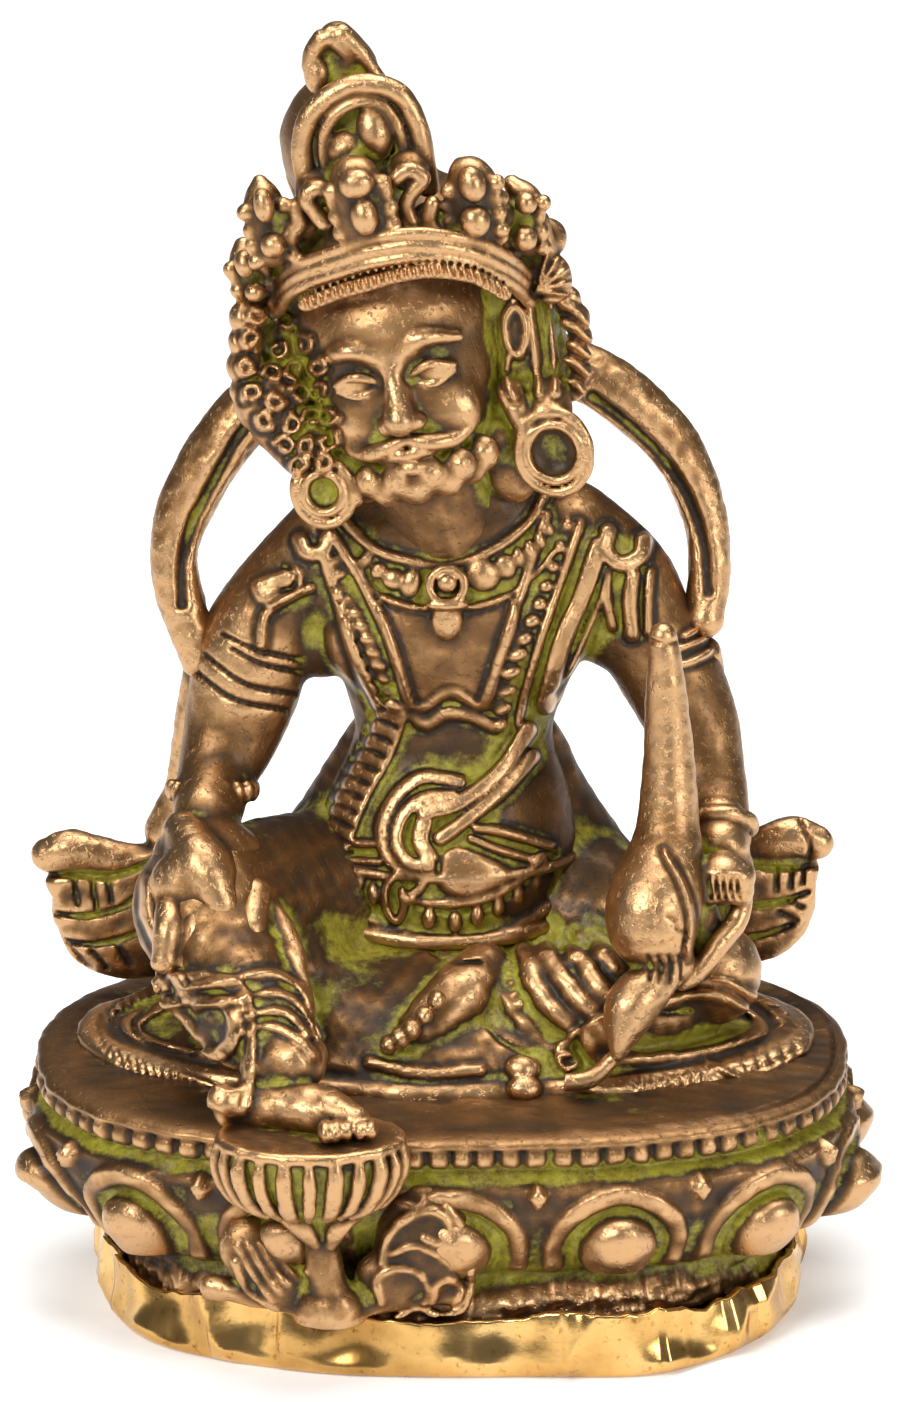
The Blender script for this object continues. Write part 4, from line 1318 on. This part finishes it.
def add_light(name, spot, size, power):
    """A soft square panel of light at spot, turned to the object's middle."""
    lamp = bpy.data.objects.new(name, bpy.data.lights.new(name, "AREA"))
    lamp.data.size = size
    lamp.data.energy = power
    lamp.location = spot
    toward = mathutils.Vector(LIGHT_AIM) - lamp.location
    lamp.rotation_euler = toward.to_track_quat("-Z", "Y").to_euler()
    bpy.context.scene.collection.objects.link(lamp)


add_light("key", (-0.30, -0.42, 0.42), 0.26, 2.8)
add_light("fill", (0.42, -0.36, 0.22), 0.22, 1.2)
add_light("top", (0.05, 0.08, 0.60), 0.50, 4.0)
bpy.context.scene.view_settings.view_transform = "Standard"
world = bpy.data.worlds.new("studio")
bpy.context.scene.world = world
world.use_nodes = True
world.node_tree.nodes["Background"].inputs["Color"].default_value = (1.0, 1.0, 1.0, 1.0)
world.node_tree.nodes["Background"].inputs["Strength"].default_value = 0.10

# The dirt and the rubbed-in colour gather where the casting is hollow, so each point of it is told how
# much brass lies round it. GRID is the pitch of the block of points in which the brass is marked.
GRID = 0.3
low = np.array([-38.0, -34.0, -5.0])
count = np.ceil((np.array([38.0, 27.0, 99.0]) - low) / GRID).astype(int)
full = np.zeros(count, np.float32)
axes = [low[i] + np.arange(count[i]) * GRID for i in range(3)]
for block_low, grain, inside in solid_blocks:
    index = [np.round((axes[i] - block_low[i]) / grain).astype(int) for i in range(3)]
    within = [np.flatnonzero((some >= 0) & (some < inside.shape[i])) for i, some in enumerate(index)]
    part = inside[np.ix_(*[some[keep] for some, keep in zip(index, within)])]
    full[np.ix_(*within)] = np.maximum(full[np.ix_(*within)], part)
turn = np.arctan2(axes[1][None, :], axes[0][:, None])
across = np.hypot(axes[0][:, None], axes[1][None, :])
for k in np.flatnonzero((axes[2] >= FOOT_LOW) & (axes[2] <= THRONE_TOP)):
    height = axes[2][k]
    ring = spots + outward * wall[np.abs(level - height).argmin()][:, None]
    angle = np.arctan2(ring[:, 1], ring[:, 0])
    order = np.argsort(angle)
    edge = np.interp(turn, angle[order], np.linalg.norm(ring, axis=1)[order], period=2 * math.pi)
    full[:, :, k] = np.maximum(full[:, :, k], across < edge)
full[:, :, :int((PLATE_RIM - 1.5 - low[2]) / GRID)] = 1.0
for axis in range(3):
    for _ in range(3):
        total = np.cumsum(full, axis=axis)
        full = (np.roll(total, -3, axis) - np.roll(total, 4, axis)) / 7
# How much hands and cloths have rubbed each piece, and the places that were rubbed more or less.
WEAR = {"scarf": 0.05, "mongoose_and_hand": 0.75, "head_and_hair": 0.35, "crown_and_topknot": 0.4,
        "lotus_throne": 0.2, "skirt_and_legs": 0.2, "torso_and_arms": 0.35, "front_lotus": 0.25}
RUBBED = (
    ((-3.6, -3.0, 68.0), 7.5, 0.6), ((-0.5, -1.0, 48.0), 7.0, 0.45), ((0.0, -2.0, 34.0), 8.0, 0.3),
    ((-18.0, -9.0, 31.5), 5.0, 0.5), ((19.5, -5.5, 24.0), 4.5, 0.6), ((-9.5, -21.5, 20.5), 5.0, 0.4),
    ((-14.5, 3.0, 48.0), 6.0, 0.35), ((14.5, 3.5, 50.0), 5.0, 0.2), ((-15.5, 5.0, 38.5), 5.0, 0.25),
    ((-10.0, 5.0, 28.0), 6.0, -0.5), ((11.0, 4.0, 27.0), 6.0, -0.5), ((0.0, 15.0, 40.0), 16.0, -0.3),
    ((-1.0, -10.0, 21.0), 4.0, 0.45), ((5.5, -13.5, 20.0), 4.0, 0.4), ((10.0, -19.0, 5.0), 7.0, 0.7),
    ((-22.0, -12.0, 5.0), 6.0, 0.5),
)
for piece in brass_pieces:
    points, normals = mesh_points(piece.data)
    place = np.clip((points + normals * 0.7 - low) / GRID, 0, count - 1).round().astype(int)
    write_value(piece.data, "far_hollow", full[tuple(place.T)])
    polish = np.full(len(points), WEAR.get(piece.name, 0.35))
    for spot, reach, share in RUBBED:
        polish += share * np.exp(-((points - spot) ** 2).sum(axis=1) / reach ** 2)
    write_value(piece.data, "rubbed", np.clip(polish, 0, 1))
